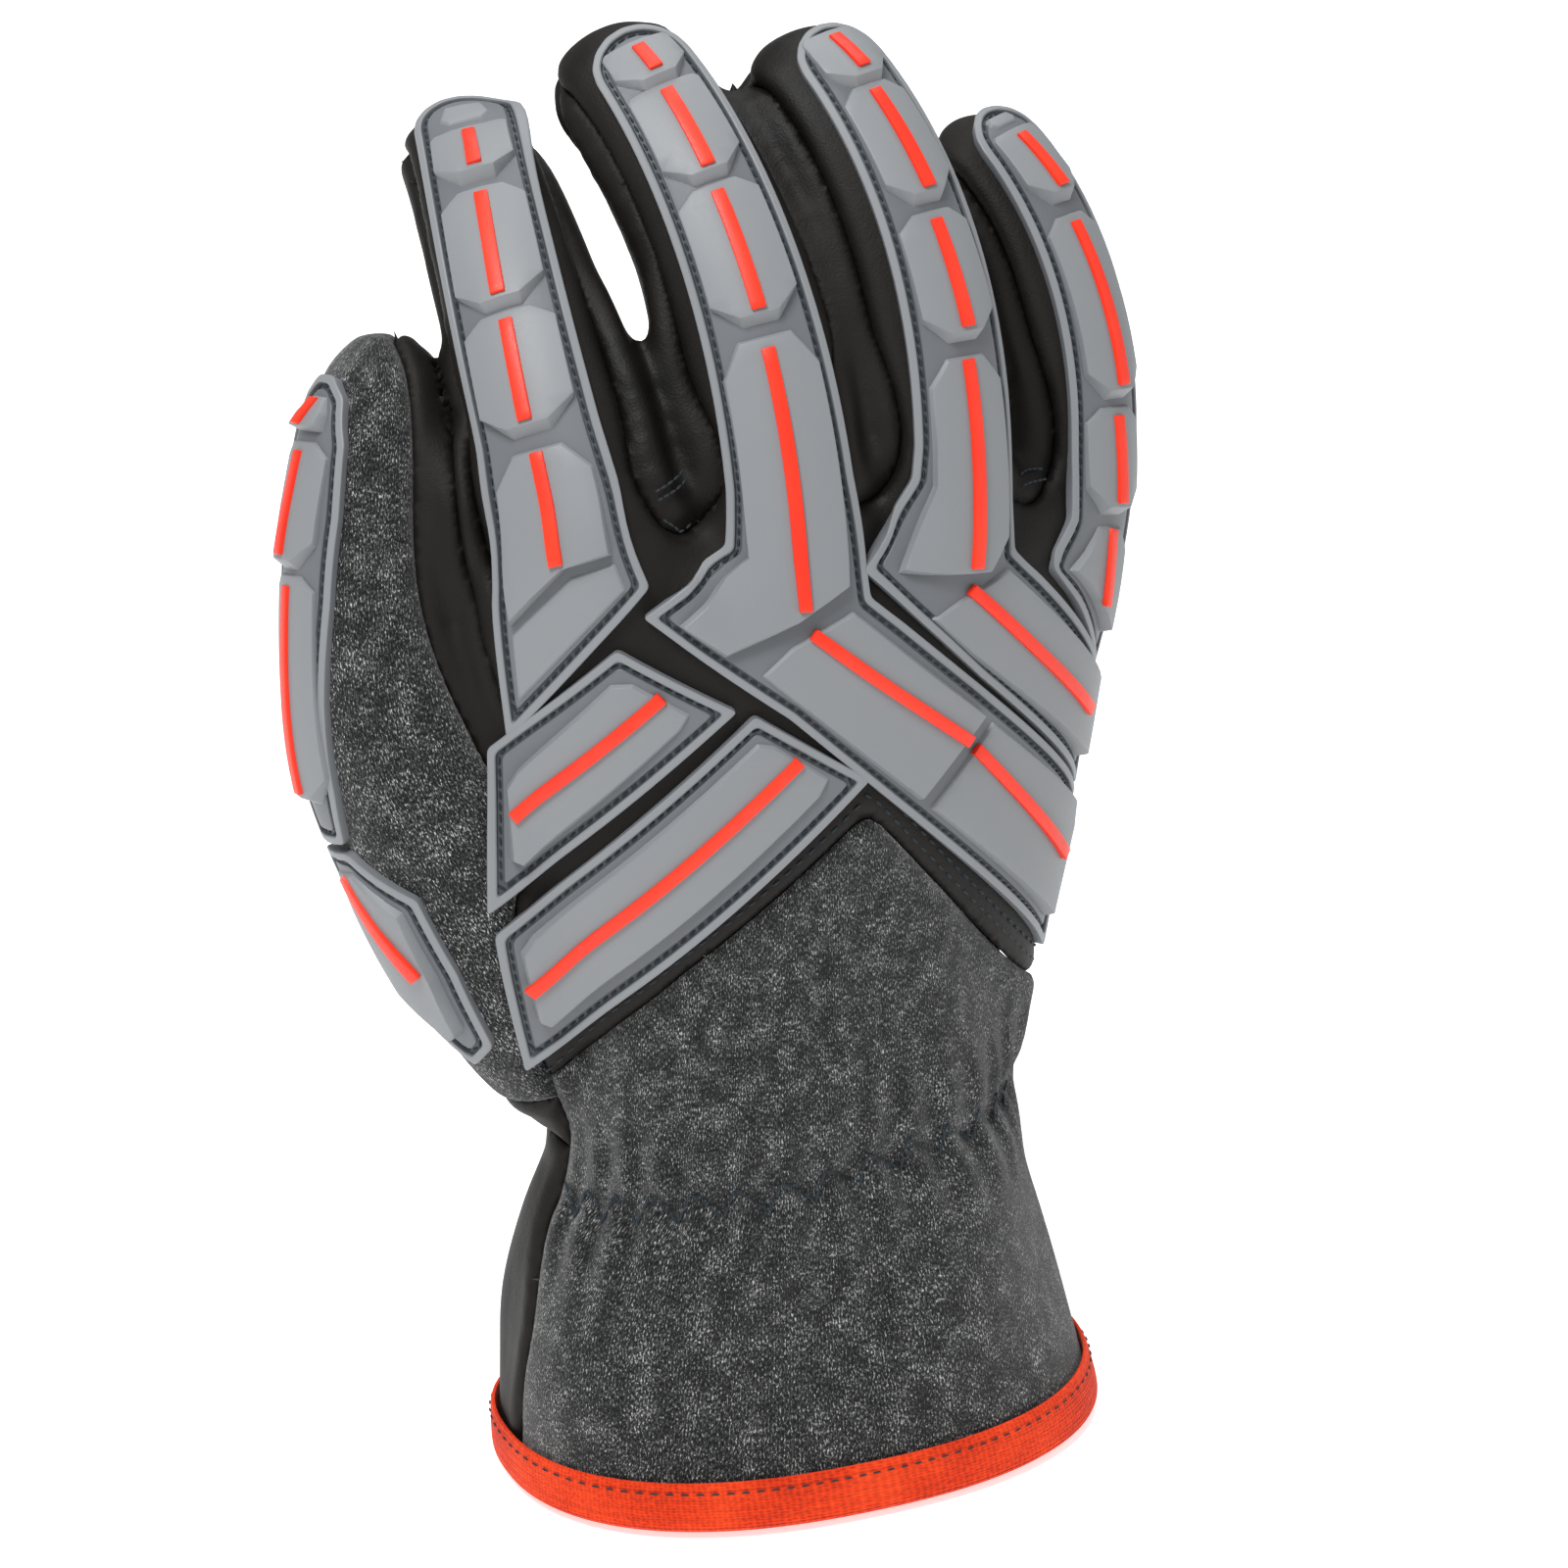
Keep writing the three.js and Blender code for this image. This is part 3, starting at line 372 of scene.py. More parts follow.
# %% Where each point lies on a finger
def values_of(items, key, size, kind=float):
    """A property of mesh elements as an array of rows of a size."""
    values = np.empty(len(items) * size, kind)
    items.foreach_get(key, values)
    return values.reshape(-1, size) if size > 1 else values


def sampled(line, key, s, knots):
    """Vectors of a line at lengths s."""
    return np.stack([np.interp(s, knots, line[key][:, k]) for k in range(3)], 1)


def along_line(points, line):
    """Length along a finger, distance across it and out of its middle, and its half sizes there."""
    at = lambda s, key: sampled(line, key, s, line["s"])
    nearest = np.concatenate([
        ((part[:, None] - line["centre"]) ** 2).sum(2).argmin(1)
        for part in np.array_split(points, 60)
    ])
    s = line["s"][nearest]
    for _ in range(3):
        s = s + np.sum((points - at(s, "centre")) * at(s, "along"), 1) * 0.9
        s = np.clip(s, line["s"][0], line["s"][-1])
    offset = points - at(s, "centre")
    return dict(
        s=s, across=np.sum(offset * at(s, "across"), 1), out=np.sum(offset * at(s, "normal"), 1),
        wide=np.interp(s, line["s"], line["wide"]), thick=np.interp(s, line["s"], line["thick"]),
    )


# %% Fields of the panels
BACK_SEAM = 0.42  # the back of a finger lies above this share of its half thickness
FRONT_SEAM = -0.45  # its front below this share
SIDE_SHARE = 0.93  # and the back ends at this share of the half width
SIDE_FROM = 0.2  # a fourchette starts beyond this share of it
BACK_FROM, BACK_TOP = -6, 180  # lengths where the fingers' backs start, and level where the hand's ends
FINGER_REACH = 1.9  # a finger's panels reach this share of its own size from its middle
TIP_TAPER = (18, 3)  # a fourchette narrows from this far below the tip to this far
WEBS = [
    # two fingers, the lengths where their sides start, the middle and half sizes of the web
    ("index", "middle", 8, 22, (-20, -1, 181), (6.5, 22, 10)),
    ("middle", "ring", 24, 20, (10.5, -5, 184.5), (5.8, 22, 11)),
    ("ring", "little", 14, 22, (43.2, 2, 177.5), (6.5, 22, 11)),
]
WEB_FRONT = 10  # a web ends this far in front of its middle
ROUNDING = 5  # a border turns a corner within about this length
SIDE_SEAMS = np.array([
    # level, x and y of the left seam of the back, x and y of its right seam
    [-6, -51.5, -4.5, 53, 6], [14, -49.8, -6.5, 50, 6], [30, -46.8, -7.3, 48, 6],
    [47, -43.5, -3.5, 45, 6], [62, -41, -2, 43, 6], [76, -44, -6, 44, 7], [100, -51, -7, 50, 8],
    [150, -53, -1, 59, 9], [176, -50, 2, 56, 10],
])
V_EDGE = np.array([
    # x and level of the lower edge of the back's leather
    [-64, 54], [-45, 75.8], [-35.2, 88.3], [-25, 98.4], [-15.5, 106], [6.8, 123.4], [20, 107.4],
    [30.5, 95], [43.1, 80.5], [70, 50],
])
CUFF_SEAM = 61  # top of the leather on the palm's side of the cuff
FRONT_FROM = 17  # the fronts of the two middle fingers start at this length
THUMB_SEAM = ((50, 78, 111), (-0.72, -0.7, -0.52))  # length and share of the half thickness
NAMES = [
    "leather_back", "knit_cuff", "fourchette_index_middle", "fourchette_middle_ring",
    "fourchette_ring_little", "knit_thumb", "leather_thumb", "leather_front_middle",
    "leather_front_ring", "leather_cuff", "leather_palm",
]
least = lambda *fields: np.minimum.reduce(fields)
most = lambda *fields: np.maximum.reduce(fields)


def joined(first, second, width=ROUNDING):
    """The larger of two fields, rounded where they cross."""
    near = np.maximum(0, width - abs(first - second))
    return np.maximum(first, second) + near ** 2 / (4 * width)


def both(first, second, width=ROUNDING):
    """The smaller of two fields, rounded where they cross."""
    return -joined(-first, -second, width)


def panel_fields(points, limbs):
    x, y, z = points.T
    rho = {name: np.hypot(limb["across"] / limb["wide"], limb["out"] / limb["thick"])
           + np.maximum(0, BACK_FROM - limb["s"]) * 0.05 for name, limb in limbs.items()}

    def nearest(name, farthest):
        """Positive where no other limb is nearer, within a share of the limb's own size."""
        others = least(*[rho[other] for other in rho if other != name])
        return least((farthest - rho[name]) * 14, (others - rho[name]) * 8)

    def seam_out(name, share):
        taper = np.clip((LINES[name]["tip"] - TIP_TAPER[1] - limbs[name]["s"])
                        / (TIP_TAPER[0] - TIP_TAPER[1]), 0, 1)
        return limbs[name]["out"] - (0.1 + (share - 0.1) * taper) * limbs[name]["thick"]

    core = {}
    for name in FINGERS:
        sideways = SIDE_SHARE * limbs[name]["wide"] - abs(limbs[name]["across"])
        core[name] = least(seam_out(name, BACK_SEAM), sideways)
    finger_backs = most(*[
        least(core[name], nearest(name, FINGER_REACH), limbs[name]["s"] - BACK_FROM)
        for name in FINGERS])
    fours = []
    for first, second, first_start, second_start, middle, size in WEBS:
        sides = []
        for name, way, start in ((first, 1, first_start), (second, -1, second_start)):
            limb = limbs[name]
            side = least(way * limb["across"] - SIDE_FROM * limb["wide"], nearest(name, 2.1), -core[name])
            sides.append(least(both(side, limb["s"] - start), seam_out(name, FRONT_SEAM)))
        web = (1 - np.linalg.norm((points - middle) / np.array(size), axis=1)) * size[0]
        web = least(web, middle[1] + WEB_FRONT - y)
        fours.append(joined(joined(*sides), web))
    left_x, left_y, right_x, right_y = [
        np.interp(z, SIDE_SEAMS[:, 0], column) for column in SIDE_SEAMS.T[1:]]
    share = np.clip((x - left_x) / (right_x - left_x), 0, 1)
    body_back = least(left_y + (right_y - left_y) * share - y, BACK_TOP - z)
    back = least(joined(finger_backs, body_back, 3), *[-four for four in fours])
    below_v = np.interp(x, V_EDGE[:, 0], V_EDGE[:, 1]) - z
    fields = [least(back, -below_v), least(back, below_v)]

    thumb = limbs["thumb"]
    knots = LINES["thumb"]["knots"]
    thumb_out = thumb["out"] - np.interp(thumb["s"], *THUMB_SEAM) * thumb["thick"]
    rest = -back
    for field in (
        *fours,
        both(least(thumb_out, nearest("thumb", 2.2)), thumb["s"] - knots[1], 8),
        both(nearest("thumb", 1.4), thumb["s"] - knots[3], 12),
        least(nearest("middle", FINGER_REACH), limbs["middle"]["s"] - FRONT_FROM),
        least(nearest("ring", FINGER_REACH), limbs["ring"]["s"] - FRONT_FROM),
        CUFF_SEAM - z,
    ):
        fields.append(least(rest, field))
        rest = least(rest, -field)
    return np.stack([*fields, rest])


# %% Draw the borders of the panels on the skin
points = values_of(skin_mesh.vertices, "co", 3)
normals = values_of(skin_mesh.vertices, "normal", 3)
limbs = {name: along_line(points, line) for name, line in LINES.items()}
fields = panel_fields(points, limbs)

edges = values_of(skin_mesh.edges, "vertices", 2, int)
label = fields.argmax(0)
crossing = edges[label[edges[:, 0]] != label[edges[:, 1]]]
first, second = crossing.T
lead_first = fields[label[first], first] - fields[label[second], first]
lead_second = fields[label[first], second] - fields[label[second], second]
part = lead_first / (lead_first - lead_second + 1e-9)
meeting = points[first] + (points[second] - points[first]) * part[:, None]
fields_there = fields[:, first] + (fields[:, second] - fields[:, first]) * part
moved = np.where(part < 0.5, first, second)
count = np.bincount(moved, minlength=len(points))
on_border = count > 0
for target, values in ((points, meeting), (fields.T, fields_there.T)):
    total = np.zeros_like(target)
    np.add.at(total, moved, values)
    target[on_border] = total[on_border] / count[on_border][:, None]

corners = values_of(skin_mesh.loops, "vertex_index", 1, int).reshape(-1, 3)
face_label = fields[:, corners].mean(2).argmax(0)
print({name: int((face_label == i).sum()) for i, name in enumerate(NAMES)})

# %% Even out the seams and measure every point's distance from its nearest seam
SEAM_ROUNDS = 12
flat_edges = np.sort(np.stack([corners, np.roll(corners, -1, 1)], 2).reshape(-1, 2), 1)
keys = flat_edges[:, 0] * len(points) + flat_edges[:, 1]
order = np.argsort(keys, kind="stable")
same = keys[order][1:] == keys[order][:-1]
one, other = order[:-1][same], order[1:][same]
seam = face_label[one // 3] != face_label[other // 3]
seam_edges = flat_edges[one[seam]]
seam_ends = np.bincount(seam_edges.ravel(), minlength=len(points))
for _ in range(SEAM_ROUNDS):
    beside = np.zeros_like(points)
    np.add.at(beside, seam_edges[:, 0], points[seam_edges[:, 1]])
    np.add.at(beside, seam_edges[:, 1], points[seam_edges[:, 0]])
    plain = seam_ends == 2
    points[plain] = points[plain] * 0.5 + beside[plain] * 0.25
skin_mesh.vertices.foreach_set("co", points.ravel())
skin_tree = BVHTree.FromPolygons([Vector(point) for point in points], corners.tolist())
seam_tree = kdtree.KDTree(2 * len(seam_edges))
for i, (a, b) in enumerate(seam_edges):
    seam_tree.insert(points[a], 2 * i)
    seam_tree.insert((points[a] + points[b]) / 2, 2 * i + 1)
seam_tree.balance()
seam_gap = np.array([seam_tree.find(point)[2] for point in points])
print("seam points", 2 * len(seam_edges), "longest way to a seam", round(float(seam_gap.max()), 1))

# %% [markdown]
# ## Relief of the cloth and separate panels
#
# The skin is still ideal. Real panels dip into their seams and swell beside them; each fourchette
# is folded along its middle, because the fingers stand close together; the knit is gathered by a
# zigzag of elastic thread at the wrist. Every such form is a height over the skin, a sum of smooth
# bumps of the distance from a seam or a line. The skin is separated by material into one object a
# panel, its points move out along the skin's normal, and Solidify gives each panel its wall.


# %% Heights over the skin
def bump(distance, width):
    return np.exp(-(distance / width) ** 2)


def fold_between(place, first, second):
    """Signed distance from the surface half way between two fingers."""
    sizes = [along_line(place, LINES[name]) for name in (first, second)]
    return (np.hypot(sizes[0]["across"], sizes[0]["out"]) - sizes[0]["wide"]
            - np.hypot(sizes[1]["across"], sizes[1]["out"]) + sizes[1]["wide"]) / 2


# Height of the dip at a seam and its width, then of the swell beside it, where that is and its width
FOUR_RELIEF = (-1.6, 1.0, 1.4, 3.4, 2.0)
KNIT_RELIEF = (-0.9, 1.0, 0, 0, 1)
LEATHER_RELIEF = (-1.3, 0.8, 0.35, 2.6, 1.7)
CREASE_DEEP, CREASE_WIDE = 2.2, 1.3


def height_of(name, place, gap):
    """Height of a panel at its points: gap is the distance from its border."""
    kind = name.split("_")[0]
    relief = {"fourchette": FOUR_RELIEF, "knit": KNIT_RELIEF}.get(kind, LEATHER_RELIEF)
    dip, dip_wide, swell, swell_at, swell_wide = relief
    dip, swell = dip * bump(gap, dip_wide), swell * bump(gap - swell_at, swell_wide)
    if kind == "fourchette":
        first, second, _, _, middle, size = next(
            web for web in WEBS if name.endswith(web[0] + "_" + web[1]))
        above_web = np.clip((place[:, 2] - middle[2] + size[2] - 5) / 5, 0, 1)
        crease = bump(fold_between(place, first, second), CREASE_WIDE)
        crease = crease * above_web * np.clip(gap / 2 - 0.6, 0, 1)
        return dip + swell * (1 - crease) - CREASE_DEEP * crease
    return dip + swell + (cuff_folds(*place.T) if name.endswith("cuff") else 0)


ELASTIC = np.array([  # x and level of the elastic thread's middle
    [-60, 53], [-38, 54.8], [-22, 56.7], [-8, 57.6], [-1, 58.8], [8, 60.6], [30, 62], [60, 62],
])
TOOTH, TOOTH_SHIFT = 9.0, 3.5  # length of one zigzag of the elastic thread, and where one starts
TOOTH_HIGH, TOOTH_FALL = 2.6, 6.4  # its upper end above the middle, and how fast it falls
GROOVE, SWELL, GATHER, PINCH, SOFT, LOWER = -1.5, 0.55, 0.5, -1.2, 1.3, 1.5  # heights of the folds
CUFF_RADIUS, CUFF_FLAT = 45, 1.6  # half breadth of the cuff, and that over its half depth


def around_cuff(x, y):
    """Length round the cuff, nought in the middle of the back."""
    return CUFF_RADIUS * np.arctan2(x, -(y + 2) * CUFF_FLAT)


def leg_share(part):
    """Fades the ends of the falling leg of a tooth, and its short rising leg."""
    return np.clip(np.sin(pi * np.clip(part / 0.8, 0, 1)), 0, 1) ** 0.5


def zigzag(x, y, z):
    """Phase and part of the tooth at a point, and the height above the middle and above the leg."""
    phase = (around_cuff(x, y) + TOOTH_SHIFT) / TOOTH
    part = phase - np.floor(phase)
    off = z - np.interp(x, ELASTIC[:, 0], ELASTIC[:, 1])
    return phase, part, off, off - (TOOTH_HIGH - TOOTH_FALL * part)


def fold_shade_and_thread_of(x, y, z):
    """Darkening of the cuff along the elastic thread: partly the dark thread, partly painted shade in the
    groove that it puckers.
    """
    _, part, _, leg = zigzag(x, y, z)
    return bump(leg * 0.8, 0.8) * leg_share(part) * np.clip(1.3 - x / 40, 0, 1) * (y < 0)


def cuff_folds(x, y, z):
    """Puckers along the elastic thread and the soft folds that run from it."""
    phase, part, off, leg = zigzag(x, y, z)
    around = around_cuff(x, y)
    front = np.clip(-y / 10, 0, 1)
    groove = GROOVE * bump(leg * 0.8, 0.95) * leg_share(part)
    swell = SWELL * np.cos(2 * pi * phase - 1.2) * bump(off, 8)
    gather = GATHER * np.sin(2 * pi * phase + off / 9) * bump(abs(off) - 9, 6)
    pinch = PINCH * bump(off, 5)
    soft = SOFT * np.sin(around / 6.5 + z / 19) * bump(off - 20, 24) * np.clip((x - 2) / 25, 0, 1)
    lower = LOWER * np.sin(around / 10 - z / 24 + 1) * bump(off + 30, 19)
    side = np.clip((14 - y) / 10, 0, 1) * np.clip((z - 6) / 14, 0, 1)
    return (groove + swell + gather + pinch) * front + (soft + lower) * side


def relaxed(mesh, place, share, rounds):
    """Points moved towards their neighbours' middle, by a share that is nought at a border."""
    ends = values_of(mesh.edges, "vertices", 2, int)
    count = np.maximum(np.bincount(ends.ravel(), minlength=len(place)), 1)[:, None]
    for _ in range(rounds):
        total = np.zeros_like(place)
        np.add.at(total, ends[:, 0], place[ends[:, 1]])
        np.add.at(total, ends[:, 1], place[ends[:, 0]])
        place = place + (total / count - place) * 0.6 * share[:, None]
    return place


# %% Grid of the knit: millimetres across its columns and along them
THUMB_AROUND = 17


def knit_grid(name, place):
    if name == "knit_thumb":
        limb = along_line(place, LINES["thumb"])
        return THUMB_AROUND * np.arctan2(limb["across"], limb["out"]), limb["s"]
    return around_cuff(place[:, 0], place[:, 1]), place[:, 2]


def lay_weave(mesh, across, along):
    corner_of = values_of(mesh.loops, "vertex_index", 1, int)
    grid = mesh.uv_layers.new(name="weave")
    grid.data.foreach_set("uv", np.stack([across[corner_of], along[corner_of]], 1).ravel())


# %% Separate the panels
CUFF_END = 1.6  # level where the panels end inside the tape
for name in NAMES:
    skin_mesh.materials.append(bpy.data.materials.new(name + "_panel"))
skin_mesh.polygons.foreach_set("material_index", face_label)
for key, values in (("seam_gap", seam_gap), ("out", normals)):
    kind = "FLOAT" if values.ndim == 1 else "FLOAT_VECTOR"
    layer = skin_mesh.attributes.new(key, kind, "POINT")
    layer.data.foreach_set("value" if values.ndim == 1 else "vector", values.ravel())
skin = linked("skin", skin_mesh)
bpy.ops.object.select_all(action="DESELECT")
skin.select_set(True)
bpy.context.view_layer.objects.active = skin
bpy.ops.object.mode_set(mode="EDIT")
bpy.ops.mesh.select_all(action="SELECT")
bpy.ops.mesh.bisect(plane_co=(0, 0, CUFF_END), plane_no=(0, 0, 1), clear_inner=True)
bpy.ops.mesh.separate(type="MATERIAL")
bpy.ops.object.mode_set(mode="OBJECT")

PANELS, CLOTH = {}, {}
WALL = 2 * MM
LEAST_ROUNDS, FOUR_ROUNDS = 3, 12  # how often the points of a panel are evened out


def hand_in(piece, name):
    """Parents a piece to the root, hides the solid that it replaces and keeps it among the panels."""
    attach(piece, "root")
    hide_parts(name)
    PANELS[name] = piece


for piece in list(bpy.context.selected_objects):
    mesh = piece.data
    name = mesh.materials[mesh.polygons[0].material_index].name.removesuffix("_panel")
    piece.name = mesh.name = name
    place = values_of(mesh.vertices, "co", 3)
    gap = values_of(mesh.attributes["seam_gap"].data, "value", 1)
    out = values_of(mesh.attributes["out"].data, "vector", 3)
    place += out * height_of(name, place, gap)[:, None]
    rounds = FOUR_ROUNDS if name.startswith("four") else LEAST_ROUNDS
    place = relaxed(mesh, place, np.clip(gap / 1.5 - 0.5, 0, 1), rounds)
    mesh.vertices.foreach_set("co", (place * MM).ravel())
    mesh.materials.clear()
    if name.startswith("knit"):
        lay_weave(mesh, *knit_grid(name, place))
        # The cuff is darkened along the elastic: the dark thread, and painted shade in its puckered
        # groove.
        pucker = fold_shade_and_thread_of(*place.T) if name == "knit_cuff" else np.zeros(len(place))
        mesh.attributes.new("pucker", "FLOAT", "POINT").data.foreach_set("value", pucker)
        CLOTH[name] = sum(face.area for face in mesh.polygons)
    mesh.shade_smooth()
    wall = piece.modifiers.new("wall", "SOLIDIFY")
    wall.thickness, wall.offset = WALL, -1
    hand_in(piece, name)
print("panels", {name: len(piece.data.polygons) for name, piece in PANELS.items()})

# %% [markdown]
# ## Guards
#
# Each guard is moulded flat from rubber and sewn on, so it is made flat here too: nested outlines
# give the rim, the stitched channel and the sheet, and the raised pads stand on the sheet. The pads
# lie like scales, nearly flush at the end by the finger tip and high with three facets at the other
# end. A grid of cuts then lets the flat piece bend, and each point is laid on the glove: a chart
# carries it near its place, and a ray cast onto the leather's bridging surface finds the height.

# %% Charts of the hand, the fingers and the thumb
BACK_RADIUS = 80  # the back of the hand is close to a cylinder of this radius
BACK_X, BACK_Y, BACK_LEVEL, BACK_SLOPE = 6, -18, 160, 0.06
FINGER_WRAP = 17  # radius that a finger's chart is wrapped on
BLEND_START, BLEND_LENGTH = -10, 20  # a finger's chart leaves the hand over these lengths
MIDDLE_HALF, MIDDLE_EDGE, LATER = 9, 18, 14  # and later beside the finger
RAY_START, RAY_FARTHEST = 25, 14
CELL, STIFF = 1.25, 8  # grid of the heights under a guard, and how often they are smoothed
REACH = 1.2  # the slope is felt this far to each side


def smooth(value):
    value = np.clip(value, 0, 1)
    return value * value * (3 - 2 * value)


def hand_chart(across, level):
    turn = across / BACK_RADIUS
    front = BACK_Y - BACK_SLOPE * (BACK_LEVEL - level)
    point = np.stack([BACK_X + BACK_RADIUS * np.sin(turn),
                      front + BACK_RADIUS * (1 - np.cos(turn)), level], 1)
    return point, np.stack([np.sin(turn), -np.cos(turn), np.zeros_like(turn)], 1)


def wrapped(line, lengths, across, along):
    at = lambda key: sampled(line, key, along, lengths)
    turn = (across / FINGER_WRAP)[:, None]
    below = np.minimum(along - lengths[0], 0)[:, None]
    point = at("point") + at("along") * below
    point += at("across") * FINGER_WRAP * np.sin(turn) + at("normal") * FINGER_WRAP * (np.cos(turn) - 1)
    return point, unit(at("across") * np.sin(turn) + at("normal") * np.cos(turn))


def finger_chart(name):
    line = LINES[name]
    x, _, z = FINGERS[name]["base"]
    foot = BACK_RADIUS * asin((x - BACK_X) / BACK_RADIUS)
    lean = radians(FINGERS[name]["sway"][0])

    def chart(across, along):
        hand, hand_out = hand_chart(foot + across * cos(lean) + along * sin(lean),
                                    z - across * sin(lean) + along * cos(lean))
        later = LATER * smooth((abs(across) - MIDDLE_HALF) / MIDDLE_EDGE)
        share = smooth((along - BLEND_START - later) / BLEND_LENGTH)[:, None]
        limb, limb_out = wrapped(line, line["s"], across, along)
        return hand + (limb - hand) * share, unit(hand_out + (limb_out - hand_out) * share)
    return chart


thumb_back = np.concatenate([[0], np.cumsum(
    np.linalg.norm(np.diff(LINES["thumb"]["point"], axis=0), axis=1))])
CHARTS = {name: finger_chart(name) for name in FINGERS}
CHARTS["thumb"] = CHARTS["thumb_base"] = lambda across, along: wrapped(
    LINES["thumb"], thumb_back, across, along)
CHARTS["back_upper"] = CHARTS["back_lower"] = hand_chart

bed_points = values_of(bed_mesh.vertices, "co", 3)
bed_faces = [tuple(face.vertices) for face in bed_mesh.polygons]
bed_tree = BVHTree.FromPolygons([Vector(point) for point in bed_points], bed_faces)


def within(outline, x, y, margin):
    """Whether points lie inside a flat outline or closer to it than a margin."""
    start = np.asarray(outline, float)
    end = np.roll(start, -1, 0)
    inside = np.zeros(x.shape, bool)
    gap = np.full(x.shape, np.inf)
    for (x1, y1), (x2, y2) in zip(start, end):
        wide, high = x2 - x1, y2 - y1
        crosses = (y1 > y) != (y2 > y)
        inside ^= crosses & (x < wide * (y - y1) / (high + 1e-9) + x1)
        t = np.clip(((x - x1) * wide + (y - y1) * high) / (wide ** 2 + high ** 2), 0, 1)
        gap = np.minimum(gap, np.hypot(x - x1 - t * wide, y - y1 - t * high))
    return inside | (gap < margin)


def spread(values):
    """Sum of each cell of a grid and its eight neighbours, weighted towards the middle."""
    for axis in (0, 1):
        padded = np.pad(values, [(1, 1) if k == axis else (0, 0) for k in (0, 1)], mode="edge")
        low, high = (np.take(padded, range(k, k + values.shape[axis]), axis) for k in (0, 2))
        values = (low + 2 * values + high) / 4
    return values


def settled(chart, outline):
    """The chart brought onto the leather under a guard, smoothed as stiff rubber spans it."""
    low = np.min(outline, 0) - 3 * CELL
    count = ((np.max(outline, 0) + 3 * CELL - low) / CELL).astype(int) + 2
    across, along = np.meshgrid(*(low[k] + CELL * np.arange(count[k]) for k in (0, 1)), indexing="ij")
    points, outs = chart(across.ravel(), along.ravel())
    wanted = within(outline, across, along, CELL).ravel()
    rise, filled = np.zeros(across.size), np.zeros(across.size)
    for i in np.flatnonzero(wanted):
        spot, _, _, far = bed_tree.ray_cast(Vector(points[i] + outs[i] * RAY_START), Vector(-outs[i]))
        if spot is not None and abs(far - RAY_START) < RAY_FARTHEST:
            rise[i], filled[i] = RAY_START - far, 1
    rise, filled = rise.reshape(across.shape), filled.reshape(across.shape)
    while filled.min() < 1:
        total, weight = spread(rise * filled), spread(filled)
        fresh = (filled < 1) & (weight > 0)
        rise[fresh] = (total / np.maximum(weight, 1e-9))[fresh]
        filled[fresh] = 1
    for _ in range(STIFF):
        rise = spread(rise)

    def bed(across, along):
        u, v = (np.clip((value - start) / CELL, 0, cells - 1.001)
                for value, start, cells in zip((across, along), low, count))
        i, j = u.astype(int), v.astype(int)
        u, v = u - i, v - j
        height = ((1 - u) * (1 - v) * rise[i, j] + u * (1 - v) * rise[i + 1, j]
                  + (1 - u) * v * rise[i, j + 1] + u * v * rise[i + 1, j + 1])
        points, outs = chart(across, along)
        return points + outs * height[:, None]
    return bed


def lay(bed, flat):
    """Places of flat points (across, along, height) on the glove, and the way out at each."""
    x, y, height = np.asarray(flat, float).T
    right = bed(x + REACH, y) - bed(x - REACH, y)
    up = bed(x, y + REACH) - bed(x, y - REACH)
    out = unit(np.cross(right, up))
    return bed(x, y) + out * height[:, None], out


print("charts", list(CHARTS))


# %% Flat outlines, nested and rounded
def anticlockwise(outline):
    outline = np.asarray(outline, float)
    x, y = outline.T
    area = np.sum(x * np.roll(y, -1) - y * np.roll(x, -1))
    return outline if area > 0 else outline[::-1]


def nested(outline, inset, cut, steps=4):
    """The outline moved in by a distance, its corners rounded off over a length."""
    outline = anticlockwise(outline)
    before = unit(outline - np.roll(outline, 1, 0))
    after = np.roll(before, -1, 0)
    inward = np.stack([-(before + after)[:, 1], (before + after)[:, 0]], 1)
    corners = outline + inward * (2 * inset / np.sum(inward ** 2, 1))[:, None]
    ahead = np.roll(corners, -1, 0) - corners
    length = np.linalg.norm(ahead, axis=1)
    ring = []
    for i, corner in enumerate(corners):
        back_way = -ahead[i - 1] / length[i - 1]
        start = corner + back_way * min(cut, 0.42 * length[i - 1])
        end = corner + ahead[i] / length[i] * min(cut, 0.42 * length[i])
        for t in np.linspace(0, 1, steps):
            ring.append((1 - t) ** 2 * start + 2 * t * (1 - t) * corner + t * t * end)
    return np.array(ring)


def add_rings(bm, rings, tints, tint):
    """Rings of (x, y, z) bridged into a skin, the last one filled; tints colours each ring."""
    bridged = None
    for points, shade in zip(rings, tints):
        bridged = add_ring(bm, points, bridged)
        for vert in bridged:
            vert[tint] = shade
    bm.faces.new(bridged)


def cut_grid(bm, spacing):
    """Cuts that let a flat piece bend."""
    for axis in (0, 1):
        values = [vert.co[axis] for vert in bm.verts]
        count = int((max(values) - min(values)) / spacing)
        for k in range(1, count + 1):
            spot = [0, 0, 0]
            spot[axis] = min(values) + (k - 0.5) * spacing
            way = [0, 0, 0]
            way[axis] = 1
            bmesh.ops.bisect_plane(bm, geom=bm.verts[:] + bm.edges[:] + bm.faces[:],
                                   plane_co=spot, plane_no=way, dist=0.02)


def sharpen(bm, angle):
    for edge in bm.edges:
        edge.smooth = not (edge.is_manifold and edge.calc_face_angle(0) > angle)
    for face in bm.faces:
        face.smooth = True


